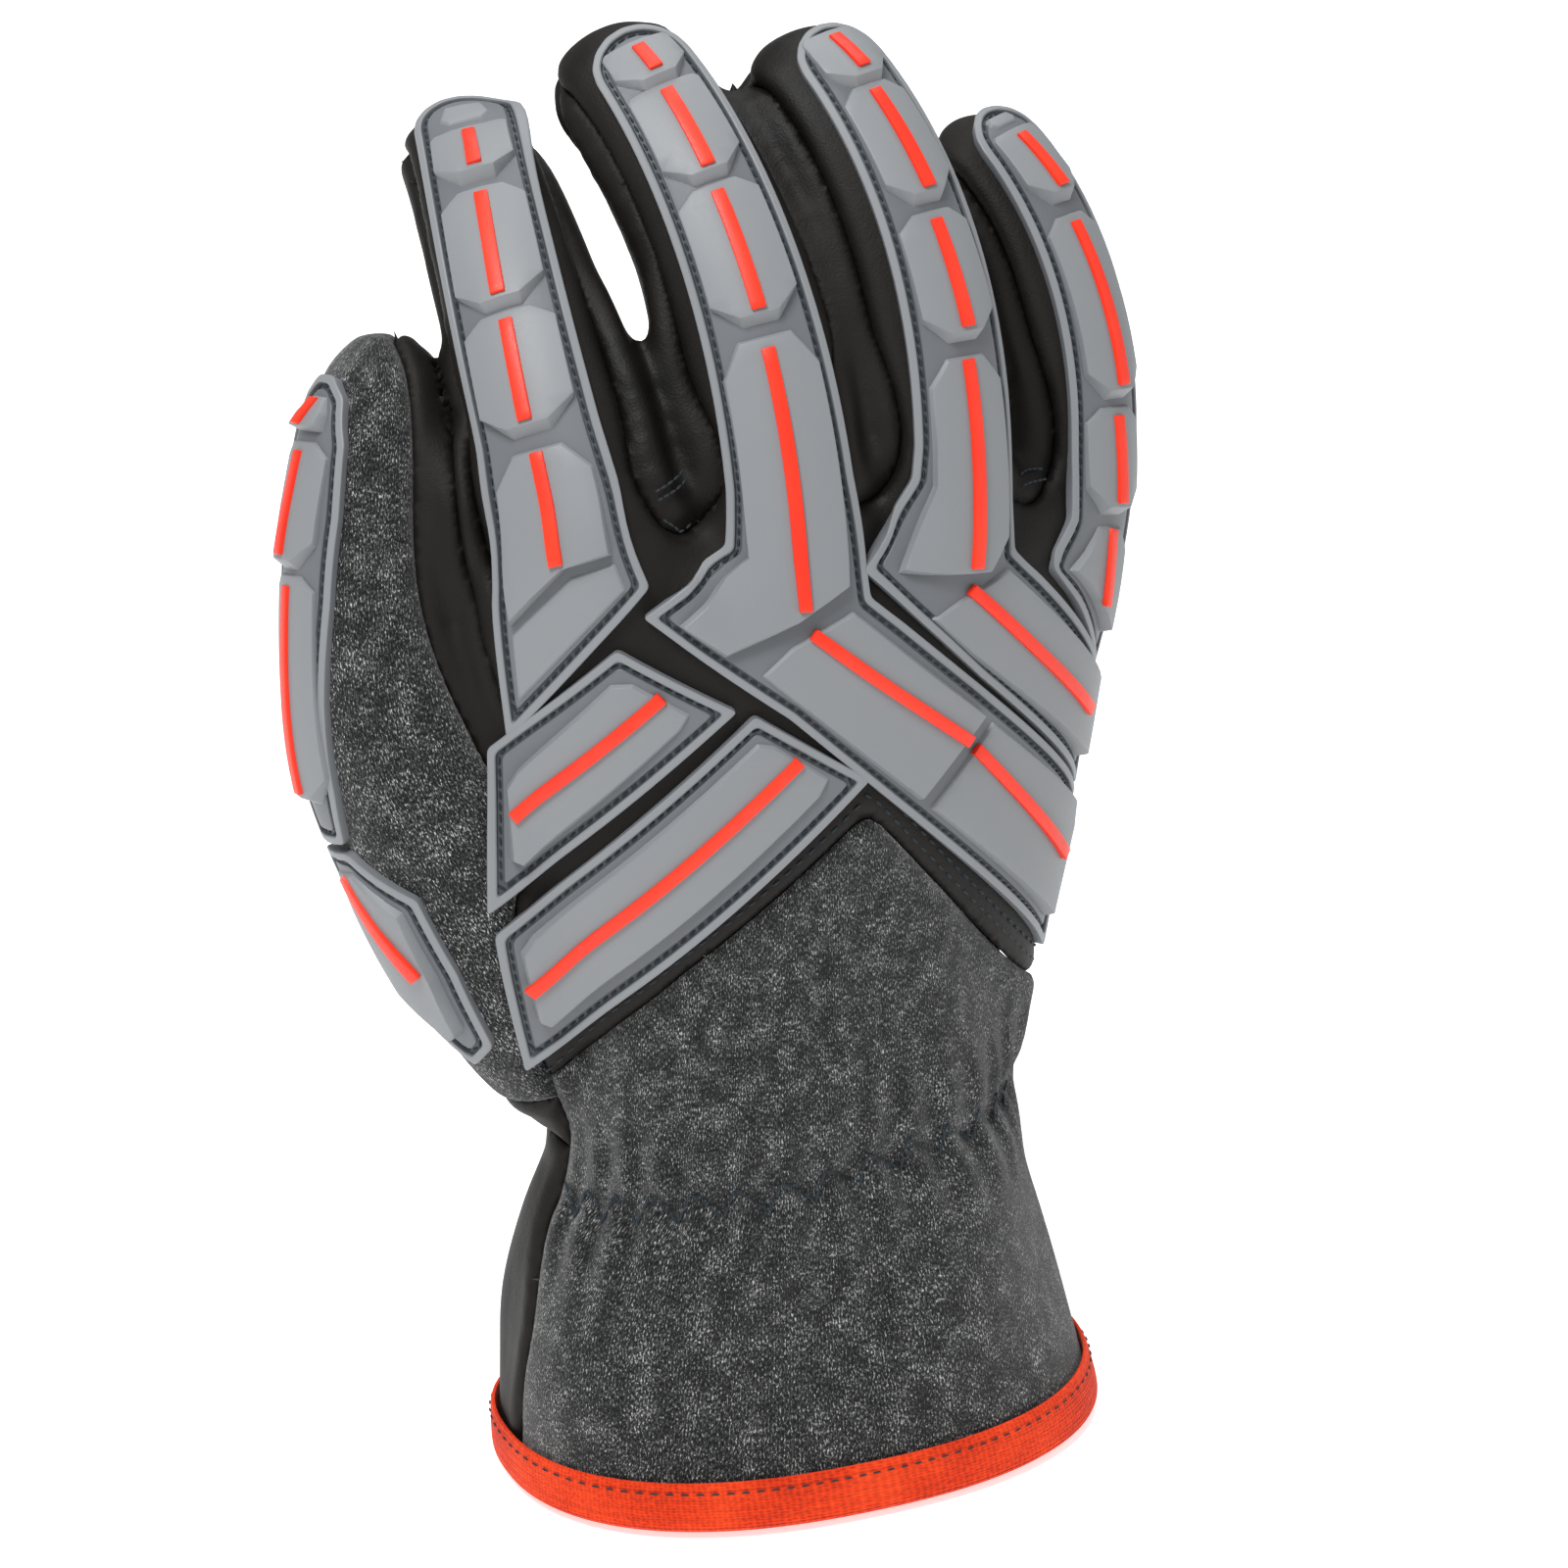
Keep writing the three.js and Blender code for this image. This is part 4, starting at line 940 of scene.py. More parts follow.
# %% Tables of the guards
# Each finger guard: the end at the tip, its half widths at the tip and at the base, its outline
# over the back of the hand from the little finger's side round, the pads as bars from the tip down,
# and further pads as outlines with the end of the bar where each is high.
CHANNEL = 2.55  # the pads keep this far inside the outline
SHEET = 1.3  # top of the sheet above the leather
MID_LENGTH, TIP_CORNER = 20, 7
FINGER_GUARDS = {
    "index": dict(
        tip=91, half=(8.4, 11), tail=[[12, -9.5], [-19.5, -28], [-13, -3]],
        pads=[(67.5, 78), (43, 63.5), (22, 40)],
        shaped=[
            [[8.1, -2.2], [0.6, -2.4], [-11.4, -9.6], [-8.6, 13], [-4.2, 18], [4.2, 18], [8, 13]],
            [[8.3, -3.4], [8.7, -8.4], [-15.2, -22.2], [-12, -10.8], [0.8, -3.7]],
            [[-3, 80.5], [3, 80.5], [4.4, 82.5], [3.2, 86.4], [-3.2, 86.4], [-4.4, 82.5]],
        ],
        bars=[[0, 68, 0, 77.5], [0, 43.5, 0, 63], [0, 22.5, 0, 39.5], [0, -1.3, 0, 17.3]],
    ),
    "middle": dict(
        tip=103, half=(8.4, 10.6),
        tail=[[12, 0], [61.7, -47.5], [61.0, -53.4], [53.3, -74.6], [-3, -18.4], [-26, -0.2],
              [-11, 10.4]],
        pads=[(91, 98.5), (72.5, 89), (48, 69.5)],
        shaped=[
            [[7.9, 2.4], [-0.9, -2.9], [-13.2, -7.2], [-20.4, -1.6], [-8, 8.4], [-7.9, 38.5],
             [-4.4, 44.4], [4.4, 44.4], [7.9, 38.5]],
            [[8.5, -1.6], [32.2, -23.8], [19.2, -36.4], [1.5, -19.3], [-7.6, -10.6], [-2.4, -6.3]],
            [[34.2, -25.7], [58.2, -48], [57.6, -53], [51.6, -68.2], [21, -38.1]],
        ],
        bars=[[0, 92, 0, 98], [0, 73, 0, 88.5], [0, 48.5, 0, 69], [0, -0.7, 0, 42.3],
              [1.3, -4.6, 28, -27.4], [30.2, -29.6, 52.6, -56]],
    ),
    "ring": dict(
        tip=95, half=(8.2, 10.2),
        tail=[[10.2, 1], [42.6, -23.7], [41.9, -30], [40.2, -44.2], [4.3, -19.5], [-19.6, -1.6],
              [-10.4, 14.3]],
        pads=[(82.6, 92), (61, 80.5), (38, 57)],
        shaped=[
            [[7.2, 3.4], [3.4, -2.2], [-13.4, -2.2], [-7.2, 13], [-7.1, 29.5], [-3.6, 34], [3.6, 34],
             [7.1, 29.5]],
            [[8.6, -1.6], [39.4, -24.2], [36.8, -38.6], [1.4, -15.6], [-6.6, -9.4], [-1.5, -6.2]],
        ],
        bars=[[0, 83.8, 0, 91.4], [0, 61.5, 0, 80], [0, 38.5, 0, 56.5], [0, -0.8, 0, 33.3],
              [0.4, -4.6, 33, -28.8]],
    ),
    "little": dict(
        tip=89, half=(7.8, 9.6), tail=[[9.6, -7.6], [7.6, -11.3], [-14.2, 4.5], [-9.6, 14]],
        pads=[(70, 82), (36, 65), (16.5, 32)],
        shaped=[
            [[6.6, -5.6], [-10, 5], [-6.6, 8.6], [-3.4, 13], [3.4, 13], [6.6, 9]],
            [[-2.4, 83.6], [2.4, 83.6], [3.8, 84.8], [2.8, 86.6], [-2.8, 86.6], [-3.8, 84.8]],
        ],
        bars=[[0, 70.5, 0, 81.5], [0, 36.5, 0, 64.5], [0, 17, 0, 31.5], [-0.7, -0.4, 0.3, 12.5]],
    ),
}
GUARDS = {
    "back_upper": dict(
        outline=[[-40, 155], [-21.3, 144.2], [-61, 108.4], [-61.6, 136]],
        shaped=[[[-41.2, 149.4], [-37.6, 149.6], [-28.6, 144.2], [-30.2, 141.4], [-55.8, 116.6],
                 [-58, 117.6], [-58.6, 130], [-56.6, 133.2]]],
        bars=[[-57.3, 125.2, -33.2, 147.2]],
    ),
    "back_lower": dict(
        outline=[[-18.5, 143.2], [0.5, 129.8], [-57.5, 79], [-60.2, 104.8]],
        shaped=[[[-18.4, 138.6], [-15.6, 138], [-6.4, 131.2], [-8.2, 128], [-52.6, 88.4],
                 [-54.8, 89.6], [-56.8, 102], [-55, 105]]],
        bars=[[-55.7, 95.4, -11.6, 134.8]],
    ),
    "thumb": dict(
        outline=[[13.5, 71.5], [15, 80], [16.2, 96], [17.8, 112], [18.4, 126], [17.4, 138], [14, 146],
                 [10, 149.5], [6, 149.5], [2.5, 146], [0.2, 138], [-1.2, 126], [-0.8, 112], [0, 96],
                 [1.2, 80], [3, 71.5]],
        middle=8.3, pads=[(80.4, 115.4), (119, 137)],
        shaped=[[[4.2, 139.6], [12.6, 139.6], [12.2, 142.6], [10.4, 146], [6.4, 146], [4.6, 142.6]]],
        bars=[[8.3, 81, 8.3, 114.6], [8.3, 119.6, 8.3, 136.4], [8, 140.4, 8, 145.4]],
    ),
    "thumb_base": dict(
        outline=[[3.5, 70], [13, 70], [22.5, 59.5], [23, 45], [21.5, 31], [16, 28], [7, 42], [3, 58]],
        shaped=[[[6.6, 66.4], [12.4, 66.4], [19.4, 58.2], [19.8, 45.6], [18.6, 35.4], [16.6, 34],
                 [10.2, 43.6], [6.4, 58.6]]],
        bars=[[9.4, 65.6, 17.6, 47]],
    ),
}
GUARDS["thumb"].update(tip=1, half=(9.2, 9.2))


def width_at(guard, length):
    """Half width of a guard, which narrows evenly towards its tip."""
    at_tip, at_base = guard["half"]
    return at_base + (at_tip - at_base) * length / guard["tip"]


for guard in FINGER_GUARDS.values():
    shoulder = guard["tip"] - TIP_CORNER
    wide, narrow = width_at(guard, MID_LENGTH), width_at(guard, shoulder)
    arc = [(narrow * cos(t), shoulder + TIP_CORNER * sin(t)) for t in np.linspace(0, pi, 9)]
    guard["outline"] = [[wide, MID_LENGTH], *arc, [-wide, MID_LENGTH], *guard["tail"][::-1]]
GUARDS = {**FINGER_GUARDS, **GUARDS}

# %% Make the guards and their bars
# Tints of the rubber: 1.0 on the rim's top is a painted highlight, 0.45 to 0.6 in the stitched channel is
# painted shade, and the outer wall darkens towards the leather.
RIM = [  # inset, height and tint of the nested outlines
    (0, -1.4, 0.75), (0, 1.3, 0.85), (0.1, 1.55, 1), (0.3, 1.65, 1), (1.15, 1.65, 1), (1.35, 1.5, 0.95),
    (1.42, 1.2, 0.6), (1.5, 0.9, 0.45), (2.25, 0.9, 0.45), (2.35, 1.15, 0.6), (2.5, 1.28, 0.78),
    (2.95, SHEET, 0.8),
]
PAD_LOW, PAD_HIGH = 0.6, 2.3  # heights of a pad above the sheet at its two ends
NARROW_END, BROAD_END, BROAD_FROM = 0.52, 0.86, 64  # share of its width there, broad near the tip
PAD_FOOT, PAD_SLOPE = 0.3, 0.6  # depth of a pad's foot in the sheet, and run of its slopes
PLAIN_PAD = 0.45  # height of a pad with no bar
SHAPED_HALF = 14  # a shaped pad falls to its sides over this length
BAR_HALF, BAR_PROUD, BAR_SUNK = 1.05, 0.55, 0.5
GRID = 2.6  # the longest flat stretch of a bent guard
ROUND_CORNER, BEVEL, BAR_BEVEL = 0.9, 0.22, 0.2
SHARP = radians(24)


def octagon(half, low, high, middle, end):
    """Foot and top of a scale-like pad: its high end is at the length low, its other end at high."""
    slope = (1 - end) * 5.2  # the corners by the low end are cut off over this length
    high = high + 1.1
    nose = 0.42 * half
    right_foot = [(nose, low - 2), (half, low + 2.4), (half, high - slope), (end * half, high)]
    right_top = [(nose, low - 0.2), (half - 0.1, low + 2.9), (half - 0.2, high - slope - 0.2),
                 (end * half - 0.1, high - 0.35)]
    mirror = lambda side: [(middle + x, y) for x, y in side] + [(middle - x, y) for x, y in side[::-1]]
    return mirror(right_foot), mirror(right_top)


def bevelled(bm, edges, offset):
    return bmesh.ops.bevel(bm, geom=edges, offset=offset, segments=2, affect="EDGES",
                           profile=0.5, clamp_overlap=True)


def add_pad(bm, foot, top, height):
    """A raised pad: its foot inside the sheet, facets up to its top, and bevelled edges."""
    pad = bmesh.new()
    shade = pad.verts.layers.float.new("tint")
    rings = [[(x, y, SHEET - PAD_FOOT) for x, y in foot],
             [(x, y, SHEET + height(x, y)) for x, y in top]]
    add_rings(pad, rings, (0.8, 0.9), shade)
    crest = [edge for edge in pad.edges if all(vert.co.z > SHEET for vert in edge.verts)]
    slopes = [edge for edge in pad.edges if edge.is_manifold and edge not in crest]
    # The bevels get the lightest tint, a painted highlight along the pads' edges.
    for vert in {vert for face in bevelled(pad, crest + slopes, BEVEL)["faces"] for vert in face.verts}:
        vert[shade] = 1.0
    holder = bpy.data.meshes.new("pad")
    pad.to_mesh(holder)
    pad.free()
    bm.from_mesh(holder)
    bpy.data.meshes.remove(holder)


def pad_height(high_end, low_end, half):
    """Height over the sheet: it falls from the high end to the low one and a little to the sides."""
    start, end = np.array(high_end, float), np.array(low_end, float)
    way = end - start
    length = np.linalg.norm(way)
    way /= length

    def height(x, y):
        offset = np.array([x, y]) - start
        t = 1 - min(max(offset @ way / length, 0), 1)
        side = (offset[0] * way[1] - offset[1] * way[0]) / half
        return PAD_LOW + (PAD_HIGH - PAD_LOW) * t * (1 - 0.5 * min(abs(side), 1) ** 2)
    return height


def bar_mesh(bar, height):
    start, end = np.array(bar[:2], float), np.array(bar[2:], float)
    way = unit(end - start)
    side = np.array([way[1], -way[0]]) * BAR_HALF
    bm = bmesh.new()
    shade = bm.verts.layers.float.new("tint")
    corners = [start - side, start + side, end + side, end - side]
    rings = [[(*corner, SHEET + height(*corner) + rise) for corner in corners]
             for rise in (-BAR_SUNK, BAR_PROUD)]
    add_rings(bm, rings, (1, 1), shade)
    bevelled(bm, [edge for edge in bm.edges if edge.is_manifold], BAR_BEVEL)
    return bm


def bent(bm, bed, name):
    """A flat piece laid on a guard's bed."""
    bmesh.ops.recalc_face_normals(bm, faces=bm.faces)
    sharpen(bm, SHARP)
    cut_grid(bm, GRID)
    placed, _ = lay(bed, [vert.co[:] for vert in bm.verts])
    for vert, point in zip(bm.verts, placed):
        vert.co = point
    return finished(bm, name)


BEDS = {}
for name, guard in GUARDS.items():
    BEDS[name] = settled(CHARTS[name], guard["outline"])
    bm = bmesh.new()
    tint = bm.verts.layers.float.new("tint")
    rings = [[(x, y, z) for x, y in nested(guard["outline"], inset, ROUND_CORNER)] for inset, z, _ in RIM]
    add_rings(bm, rings, [shade for _, _, shade in RIM], tint)
    heights = []
    middle = guard.get("middle", 0)
    for low, high in guard.get("pads", []):
        half = width_at(guard, (low + high) / 2) - CHANNEL
        heights.append(pad_height((middle, low), (middle, high), half))
        end = BROAD_END if low > BROAD_FROM and name != "thumb" else NARROW_END
        add_pad(bm, *octagon(half, low, high, middle, end), heights[-1])
    for outline in guard["shaped"]:
        flat = anticlockwise(outline)
        height = lambda x, y: PLAIN_PAD
        if len(guard["bars"]) > len(heights):
            bar = guard["bars"][len(heights)]
            ends = sorted((bar[:2], bar[2:]), key=lambda end: end[1])
            height = pad_height(*ends, SHAPED_HALF)
        heights.append(height)
        add_pad(bm, flat, nested(flat, PAD_SLOPE, 0.01, 1), height)
    hand_in(bent(bm, BEDS[name], "guard_" + name), "guard_" + name)
    for i, bar in enumerate(guard["bars"]):
        bar_name = f"bar_{name}_{i + 1}"
        hand_in(bent(bar_mesh(bar, heights[i]), BEDS[name], bar_name), bar_name)
print("guards", {name: len(PANELS["guard_" + name].data.polygons) for name in GUARDS})

# %% [markdown]
# ## Hem
#
# The hem is a ribbed tape folded over the edge of the cuff and sewn through. Rings run down its
# outside, round the fold and up its inside, each one extruded from the last, and the fold is kept
# soft by the round section that the rings follow.

# %% Hem tape
TAPE = [  # how far outside the cuff's skin, and level
    (0.3, 9.4), (0.9, 9.6), (1.35, 9.2), (1.5, 8), (1.55, 5), (1.5, 2.4), (1.25, 1.1), (0.6, 0.4),
    (-0.6, 0.1), (-2.0, 0.3), (-3.1, 1), (-3.5, 2.4), (-3.5, 6), (-3.4, 8), (-2.9, 8.5), (-2.3, 8.3),
    (-2.3, 1.5), (0.3, 1.5),
]
TAPE_SIDES, TAPE_ROUND = 240, 280  # corners of a ring of tape, and the length round it


def cuff_ring(grow, level):
    _, x, y, half, back, palm, square = eased(BODY[:, 0], BODY, np.array([max(level, 0.01)]))[0]
    flat = section(TAPE_SIDES, square)
    depth = np.where(flat[:, 1] < 0, back, palm) + grow
    return np.stack([x + flat[:, 0] * (half + grow), y + flat[:, 1] * depth,
                     np.full(TAPE_SIDES, level)], 1)


hem = bmesh.new()
hem_grid = hem.verts.layers.float_vector.new("grid")
first_ring = last_ring = None
travelled = 0
for i, (grow, level) in enumerate(TAPE):
    ring = add_ring(hem, cuff_ring(grow, level), last_ring)
    if i:
        travelled += hypot(grow - TAPE[i - 1][0], level - TAPE[i - 1][1])
    for k, vert in enumerate(ring):
        vert[hem_grid] = (k * TAPE_ROUND / TAPE_SIDES, travelled, 0)
    first_ring = first_ring or ring
    last_ring = ring
bmesh.ops.bridge_loops(hem, edges=[hem.edges.get((ring[i - 1], ring[i]))
                                   for ring in (first_ring, last_ring) for i in range(TAPE_SIDES)])
bmesh.ops.recalc_face_normals(hem, faces=hem.faces)
for face in hem.faces:
    face.smooth = True
hem = finished(hem, "hem_tape")
hem_soft = hem.modifiers.new("soft", "SUBSURF")
hem_soft.levels = hem_soft.render_levels = 1
hand_in(hem, "hem_tape")
print("hem", len(hem.data.polygons))

# %% [markdown]
# ## Stitches
#
# Every visible seam is sewn with a thick slate thread. A stitch is a small spindle lying on the
# leather or in the channel of a guard. A path is walked at the stitch's pitch and a spindle is
# placed on each step, turned a little, as a lock stitch lies. All are joined into a few objects.

# %% Stitch helpers
IN_FRONT = -90  # rays towards the back of the glove start here


def on_skin(x, z, lift):
    """The point of the glove's back at x and z, seen from the front, and the way out there."""
    spot, normal, _, _ = skin_tree.ray_cast(Vector((x, IN_FRONT, z)), Vector((0, 1, 0)))
    return (None, None) if spot is None else (np.array(spot + normal * lift), np.array(normal))


def walk(path, pitch, closed=False):
    """Points at equal steps along a path of points."""
    path = np.asarray(path, float)
    if closed:
        path = np.vstack([path, path[:1]])
    run = np.concatenate([[0], np.cumsum(np.linalg.norm(np.diff(path, axis=0), axis=1))])
    steps = np.linspace(0, run[-1], max(2, int(round(run[-1] / pitch)) + 1))
    if closed:
        steps = steps[:-1]
    return np.stack([np.interp(steps, run, path[:, k]) for k in range(path.shape[1])], 1)


ball = bmesh.new()
bmesh.ops.create_uvsphere(ball, u_segments=6, v_segments=6, radius=1)
BALL_POINTS = np.array([vert.co[:] for vert in ball.verts])
BALL_FACES = [[vert.index for vert in face.verts] for face in ball.faces]
ball.free()


class Thread:
    """Many spindles joined into one object, each a ball drawn out along its stitch."""

    def __init__(self):
        self.points, self.faces = [], []

    def stitch(self, start, end, out, radius):
        """A spindle from start to end, flattened onto what it lies on."""
        start, end = np.array(start), np.array(end)
        along = end - start
        side = unit(np.cross(along, out))
        frame_of = np.stack([side * radius, unit(np.cross(side, along)) * radius * 0.8, along / 2])
        first = len(self.points) * len(BALL_POINTS)
        self.points.append((start + end) / 2 + BALL_POINTS @ frame_of)
        self.faces += [[index + first for index in face] for face in BALL_FACES]

    def finish(self, name):
        mesh = bpy.data.meshes.new(name)
        mesh.from_pydata(np.concatenate(self.points) * MM, [], self.faces)
        mesh.shade_smooth()
        PANELS[name] = linked(name, mesh)
        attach(PANELS[name], "root")
        print(name, len(self.points), "stitches,", len(self.faces), "faces")


# %% Stitches in the channels of the guards
CHANNEL_MIDDLE, CHANNEL_FLOOR = 1.87, 1.0
STITCH_PITCH, STITCH_LENGTH, STITCH_RADIUS = 1.9, 1.5, 0.24
TWIST = 0.07  # a stitch lies this far aslant in the channel
channel_thread = Thread()
for name, guard in GUARDS.items():
    steps = walk(nested(guard["outline"], CHANNEL_MIDDLE, ROUND_CORNER), STITCH_PITCH, closed=True)
    way = unit(np.roll(steps, -1, 0) - np.roll(steps, 1, 0))
    side = np.stack([way[:, 1], -way[:, 0]], 1) * TWIST
    floor_height = np.full((len(steps), 1), CHANNEL_FLOOR)
    starts, outs = lay(BEDS[name], np.hstack([steps - way * STITCH_LENGTH / 2 + side, floor_height]))
    ends, _ = lay(BEDS[name], np.hstack([steps + way * STITCH_LENGTH / 2 - side, floor_height]))
    for start, end, out in zip(starts, ends, outs):
        channel_thread.stitch(start, end, out, STITCH_RADIUS)
channel_thread.finish("thread_channels")

# %% Stitches of the V, the webs and the elastic
seam_thread = Thread()


def sew(path, lift, pitch, length, radius):
    """Stitches along a path of x and z over the back of the glove."""
    steps = walk(path, pitch)
    for i in range(len(steps) - 1):
        way = unit(steps[i + 1] - steps[i])
        start, out = on_skin(*(steps[i] - way * length / 2), lift)
        end, _ = on_skin(*(steps[i] + way * length / 2), lift)
        if start is not None and end is not None:
            seam_thread.stitch(start, end, out, radius)


V_ROWS = (3.375, 6.345)  # levels of the two rows of stitches above the V's edge
V_LEFT, V_RIGHT = -47, 46  # and where they end
for above in V_ROWS:
    row = [point for point in walk(V_EDGE + [0, above], 1) if V_LEFT < point[0] < V_RIGHT]
    sew(row, lift=0.25, pitch=2.6, length=1.5, radius=0.26)
TACKS = [  # x and level of the ends of the rows of stitches that lock a web
    [(-24.6, 179.2), (-19.2, 181.2)], [(-24.4, 177.9), (-19.0, 179.8)], [(-24.0, 174.6), (-21.6, 172.4)],
    [(-21.6, 172.4), (-18.8, 173.2)], [(41.6, 170.6), (47.2, 170.0)], [(41.6, 169.2), (47.4, 168.6)],
]
for tack in TACKS:
    sew(tack, lift=1.3, pitch=1.2, length=1.1, radius=0.24)


def on_cuff(around, level, lift):
    """The point of the cuff at a length round it and a level, on its folds, and the way out."""
    turn = around / CUFF_RADIUS
    way = Vector((sin(turn), -cos(turn) / CUFF_FLAT, 0))
    spot, normal, _, _ = skin_tree.ray_cast(Vector((0, -2, level)), way)
    spot, normal = np.array(spot), np.array(normal)
    return spot + normal * (lift + cuff_folds(*spot[:, None])), normal


LONG_LEG = 0.8  # share of a tooth that its falling leg takes
ELASTIC_LIFT, ELASTIC_RADIUS = 0.3, 0.3
FIRST_TOOTH, LAST_TOOTH = -7, 5
for tooth in range(FIRST_TOOTH, LAST_TOOTH + 1):
    start = tooth * TOOTH - TOOTH_SHIFT
    ends = []
    for step, off in ((0, TOOTH_HIGH), (LONG_LEG * TOOTH, TOOTH_HIGH - LONG_LEG * TOOTH_FALL),
                      (TOOTH, TOOTH_HIGH)):
        around = start + step
        level = np.interp(around * 0.8, ELASTIC[:, 0], ELASTIC[:, 1]) + off
        ends.append((around, level))
    for one, other, count in ((ends[0], ends[1], 3), (ends[1], ends[2], 2)):
        spots = np.linspace(one, other, count * 3 + 1)
        for k in range(0, count * 3, 3):
            near, out = on_cuff(*spots[k], ELASTIC_LIFT)
            far, _ = on_cuff(*(spots[k] + (spots[k + 3] - spots[k]) * 0.9), ELASTIC_LIFT)
            seam_thread.stitch(near, far, out, ELASTIC_RADIUS)
seam_thread.finish("thread_seams")

hem_thread = Thread()
HEM_STITCH_OUT, HEM_STITCH_LEVEL, HEM_STITCH_PITCH = 1.62, 7.8, 2.6
HEM_STITCH_HALF, HEM_STITCH_RADIUS = 0.75, 0.2
ring = walk(cuff_ring(HEM_STITCH_OUT, HEM_STITCH_LEVEL), HEM_STITCH_PITCH, closed=True)
for i, point in enumerate(ring):
    ahead = unit(ring[(i + 1) % len(ring)] - point)
    out = np.array([ahead[1], -ahead[0], 0])
    hem_thread.stitch(point - ahead * HEM_STITCH_HALF, point + ahead * HEM_STITCH_HALF, out,
                      HEM_STITCH_RADIUS)
hem_thread.finish("thread_hem")

# %% [markdown]
# ## Materials
#
# The leather has a fine pebble grain with soft creases, which only shows in its highlights. The
# knit is brushed heather: dark yarn with light fibres lying along its columns. The rubber is satin;
# its rim is lighter on top, a painted highlight, as are the pads' bevels, and its channel is dark
# with painted shade. All patterns are procedural, on the object's own coordinates in metres or on
# the grids of the knit and the tape in millimetres.


# %% Node helpers
def linear(code):
    """A colour from its six hexadecimal digits, as linear light."""
    parts = [int(code[i:i + 2], 16) / 255 for i in (0, 2, 4)]
    bright = [((value + 0.055) / 1.055) ** 2.4 if value > 0.04045 else value / 12.92 for value in parts]
    return [*bright, 1]


class Material:
    """A principled material whose nodes are added one by one."""

    def __init__(self, name, **constants):
        self.data = bpy.data.materials.new(name)
        self.data.use_nodes = True
        self.tree = self.data.node_tree
        self.shader = self.tree.nodes["Principled BSDF"]
        for key, value in constants.items():
            self.shader.inputs[key.replace("_", " ")].default_value = value

    def node(self, kind, values=(), **settings):
        node = self.tree.nodes.new("ShaderNode" + kind)
        for key, value in settings.items():
            setattr(node, key, value)
        for key, value in dict(values).items():
            if isinstance(value, bpy.types.NodeSocket):
                self.tree.links.new(value, node.inputs[key])
            else:
                node.inputs[key].default_value = value
        return node

    def stretched(self, vector, stretch):
        return self.node("Mapping", {"Vector": vector, "Scale": stretch}).outputs[0]

    def place(self, stretch=(1, 1, 1)):
        return self.stretched(self.node("TexCoord").outputs["Object"], stretch)

    def grid(self, stretch=(1, 1, 1)):
        return self.stretched(self.node("UVMap", uv_map="weave").outputs[0], stretch)

    def bands(self, vector, scale, distortion, way, **values):
        values.update(Vector=vector, Scale=scale, Distortion=distortion)
        return self.node("TexWave", values, wave_type="BANDS", bands_direction=way).outputs["Fac"]

    def attribute(self, name, output="Fac"):
        return self.node("Attribute", attribute_name=name).outputs[output]

    def noise(self, vector, scale, detail=2.0, roughness=0.5):
        return self.node("TexNoise", {"Vector": vector, "Scale": scale, "Detail": detail,
                                      "Roughness": roughness}).outputs["Fac"]

    def ramp(self, value, *stops):
        node = self.node("ValToRGB", {"Fac": value})
        elements = node.color_ramp.elements
        while len(elements) < len(stops):
            elements.new(0.5)
        for element, (spot, colour) in zip(elements, stops):
            element.position = spot
            element.color = linear(colour) if isinstance(colour, str) else (colour, colour, colour, 1)
        return node.outputs[0]

    def total(self, *parts):
        """Sum of values, each times its weight."""
        result = 0
        for value, weight in parts:
            inputs = {0: value, 1: weight, 2: result}
            result = self.node("Math", inputs, operation="MULTIPLY_ADD").outputs[0]
        return result

    def blend(self, share, first, second):
        return self.node("Mix", {0: share, 6: first, 7: second}, data_type="RGBA").outputs[2]

    def bump(self, *layers):
        """Layers of (height, strength, distance in metres), the widest first."""
        normal = None
        for height, strength, distance in layers:
            values = {"Height": height, "Strength": strength, "Distance": distance}
            if normal is not None:
                values["Normal"] = normal
            normal = self.node("Bump", values).outputs[0]
        self.tree.links.new(normal, self.shader.inputs["Normal"])

    def colour(self, socket):
        self.tree.links.new(socket, self.shader.inputs["Base Color"])

    def rough(self, socket):
        self.tree.links.new(socket, self.shader.inputs["Roughness"])


# %% Leather
leather = Material("leather", Specular_IOR_Level=0.22)
space = leather.place()
pebble = leather.node("TexVoronoi", {"Vector": space, "Scale": 2600, "Randomness": 1},
                      feature="SMOOTH_F1").outputs["Distance"]
fine = leather.noise(space, 5200, 2)
crease = leather.noise(leather.place((1, 1, 0.55)), 260, 3, 0.6)
cloud = leather.noise(space, 45, 3)
leather.colour(leather.ramp(cloud, (0.3, "0b0908"), (0.7, "181512")))
leather.rough(leather.ramp(leather.total((cloud, 0.6), (fine, 0.4)), (0.3, 0.5), (0.7, 0.74)))
leather.bump((crease, 0.25, 0.0005), (pebble, 0.4, 0.00014), (fine, 0.2, 0.00008))

# %% Knit
knit = Material("knit", Specular_IOR_Level=0.2, Roughness=0.95, Sheen_Weight=0.25, Sheen_Roughness=0.4)
fleck = knit.noise(knit.grid((3.9, 1.25, 1)), 1.0, 3, 0.65)
second_fleck = knit.noise(knit.grid((6.6, 2.2, 1)), 1.0, 2, 0.6)
mottle = knit.noise(knit.grid((0.25, 0.2, 1)), 1.0, 2)
columns = knit.bands(knit.grid(), 0.52, 1.2, "X", Detail=1)
fibres = knit.total((fleck, 0.6), (second_fleck, 0.4), (mottle, 0.16), (columns, 0.03))
cloth = knit.ramp(fibres, (0.46, "070808"), (0.58, "191a1a"), (0.66, "4a4b4b"), (0.74, "c8c9c9"))
# Along the elastic's zigzag the knit is darkened: the dark thread together with painted shade in the
# puckered groove.
pucker = knit.total((knit.attribute("pucker"), 0.85))
knit.colour(knit.blend(pucker, cloth, linear("0b0f11")))
knit.bump((mottle, 0.3, 0.0008), (fibres, 0.7, 0.0005))

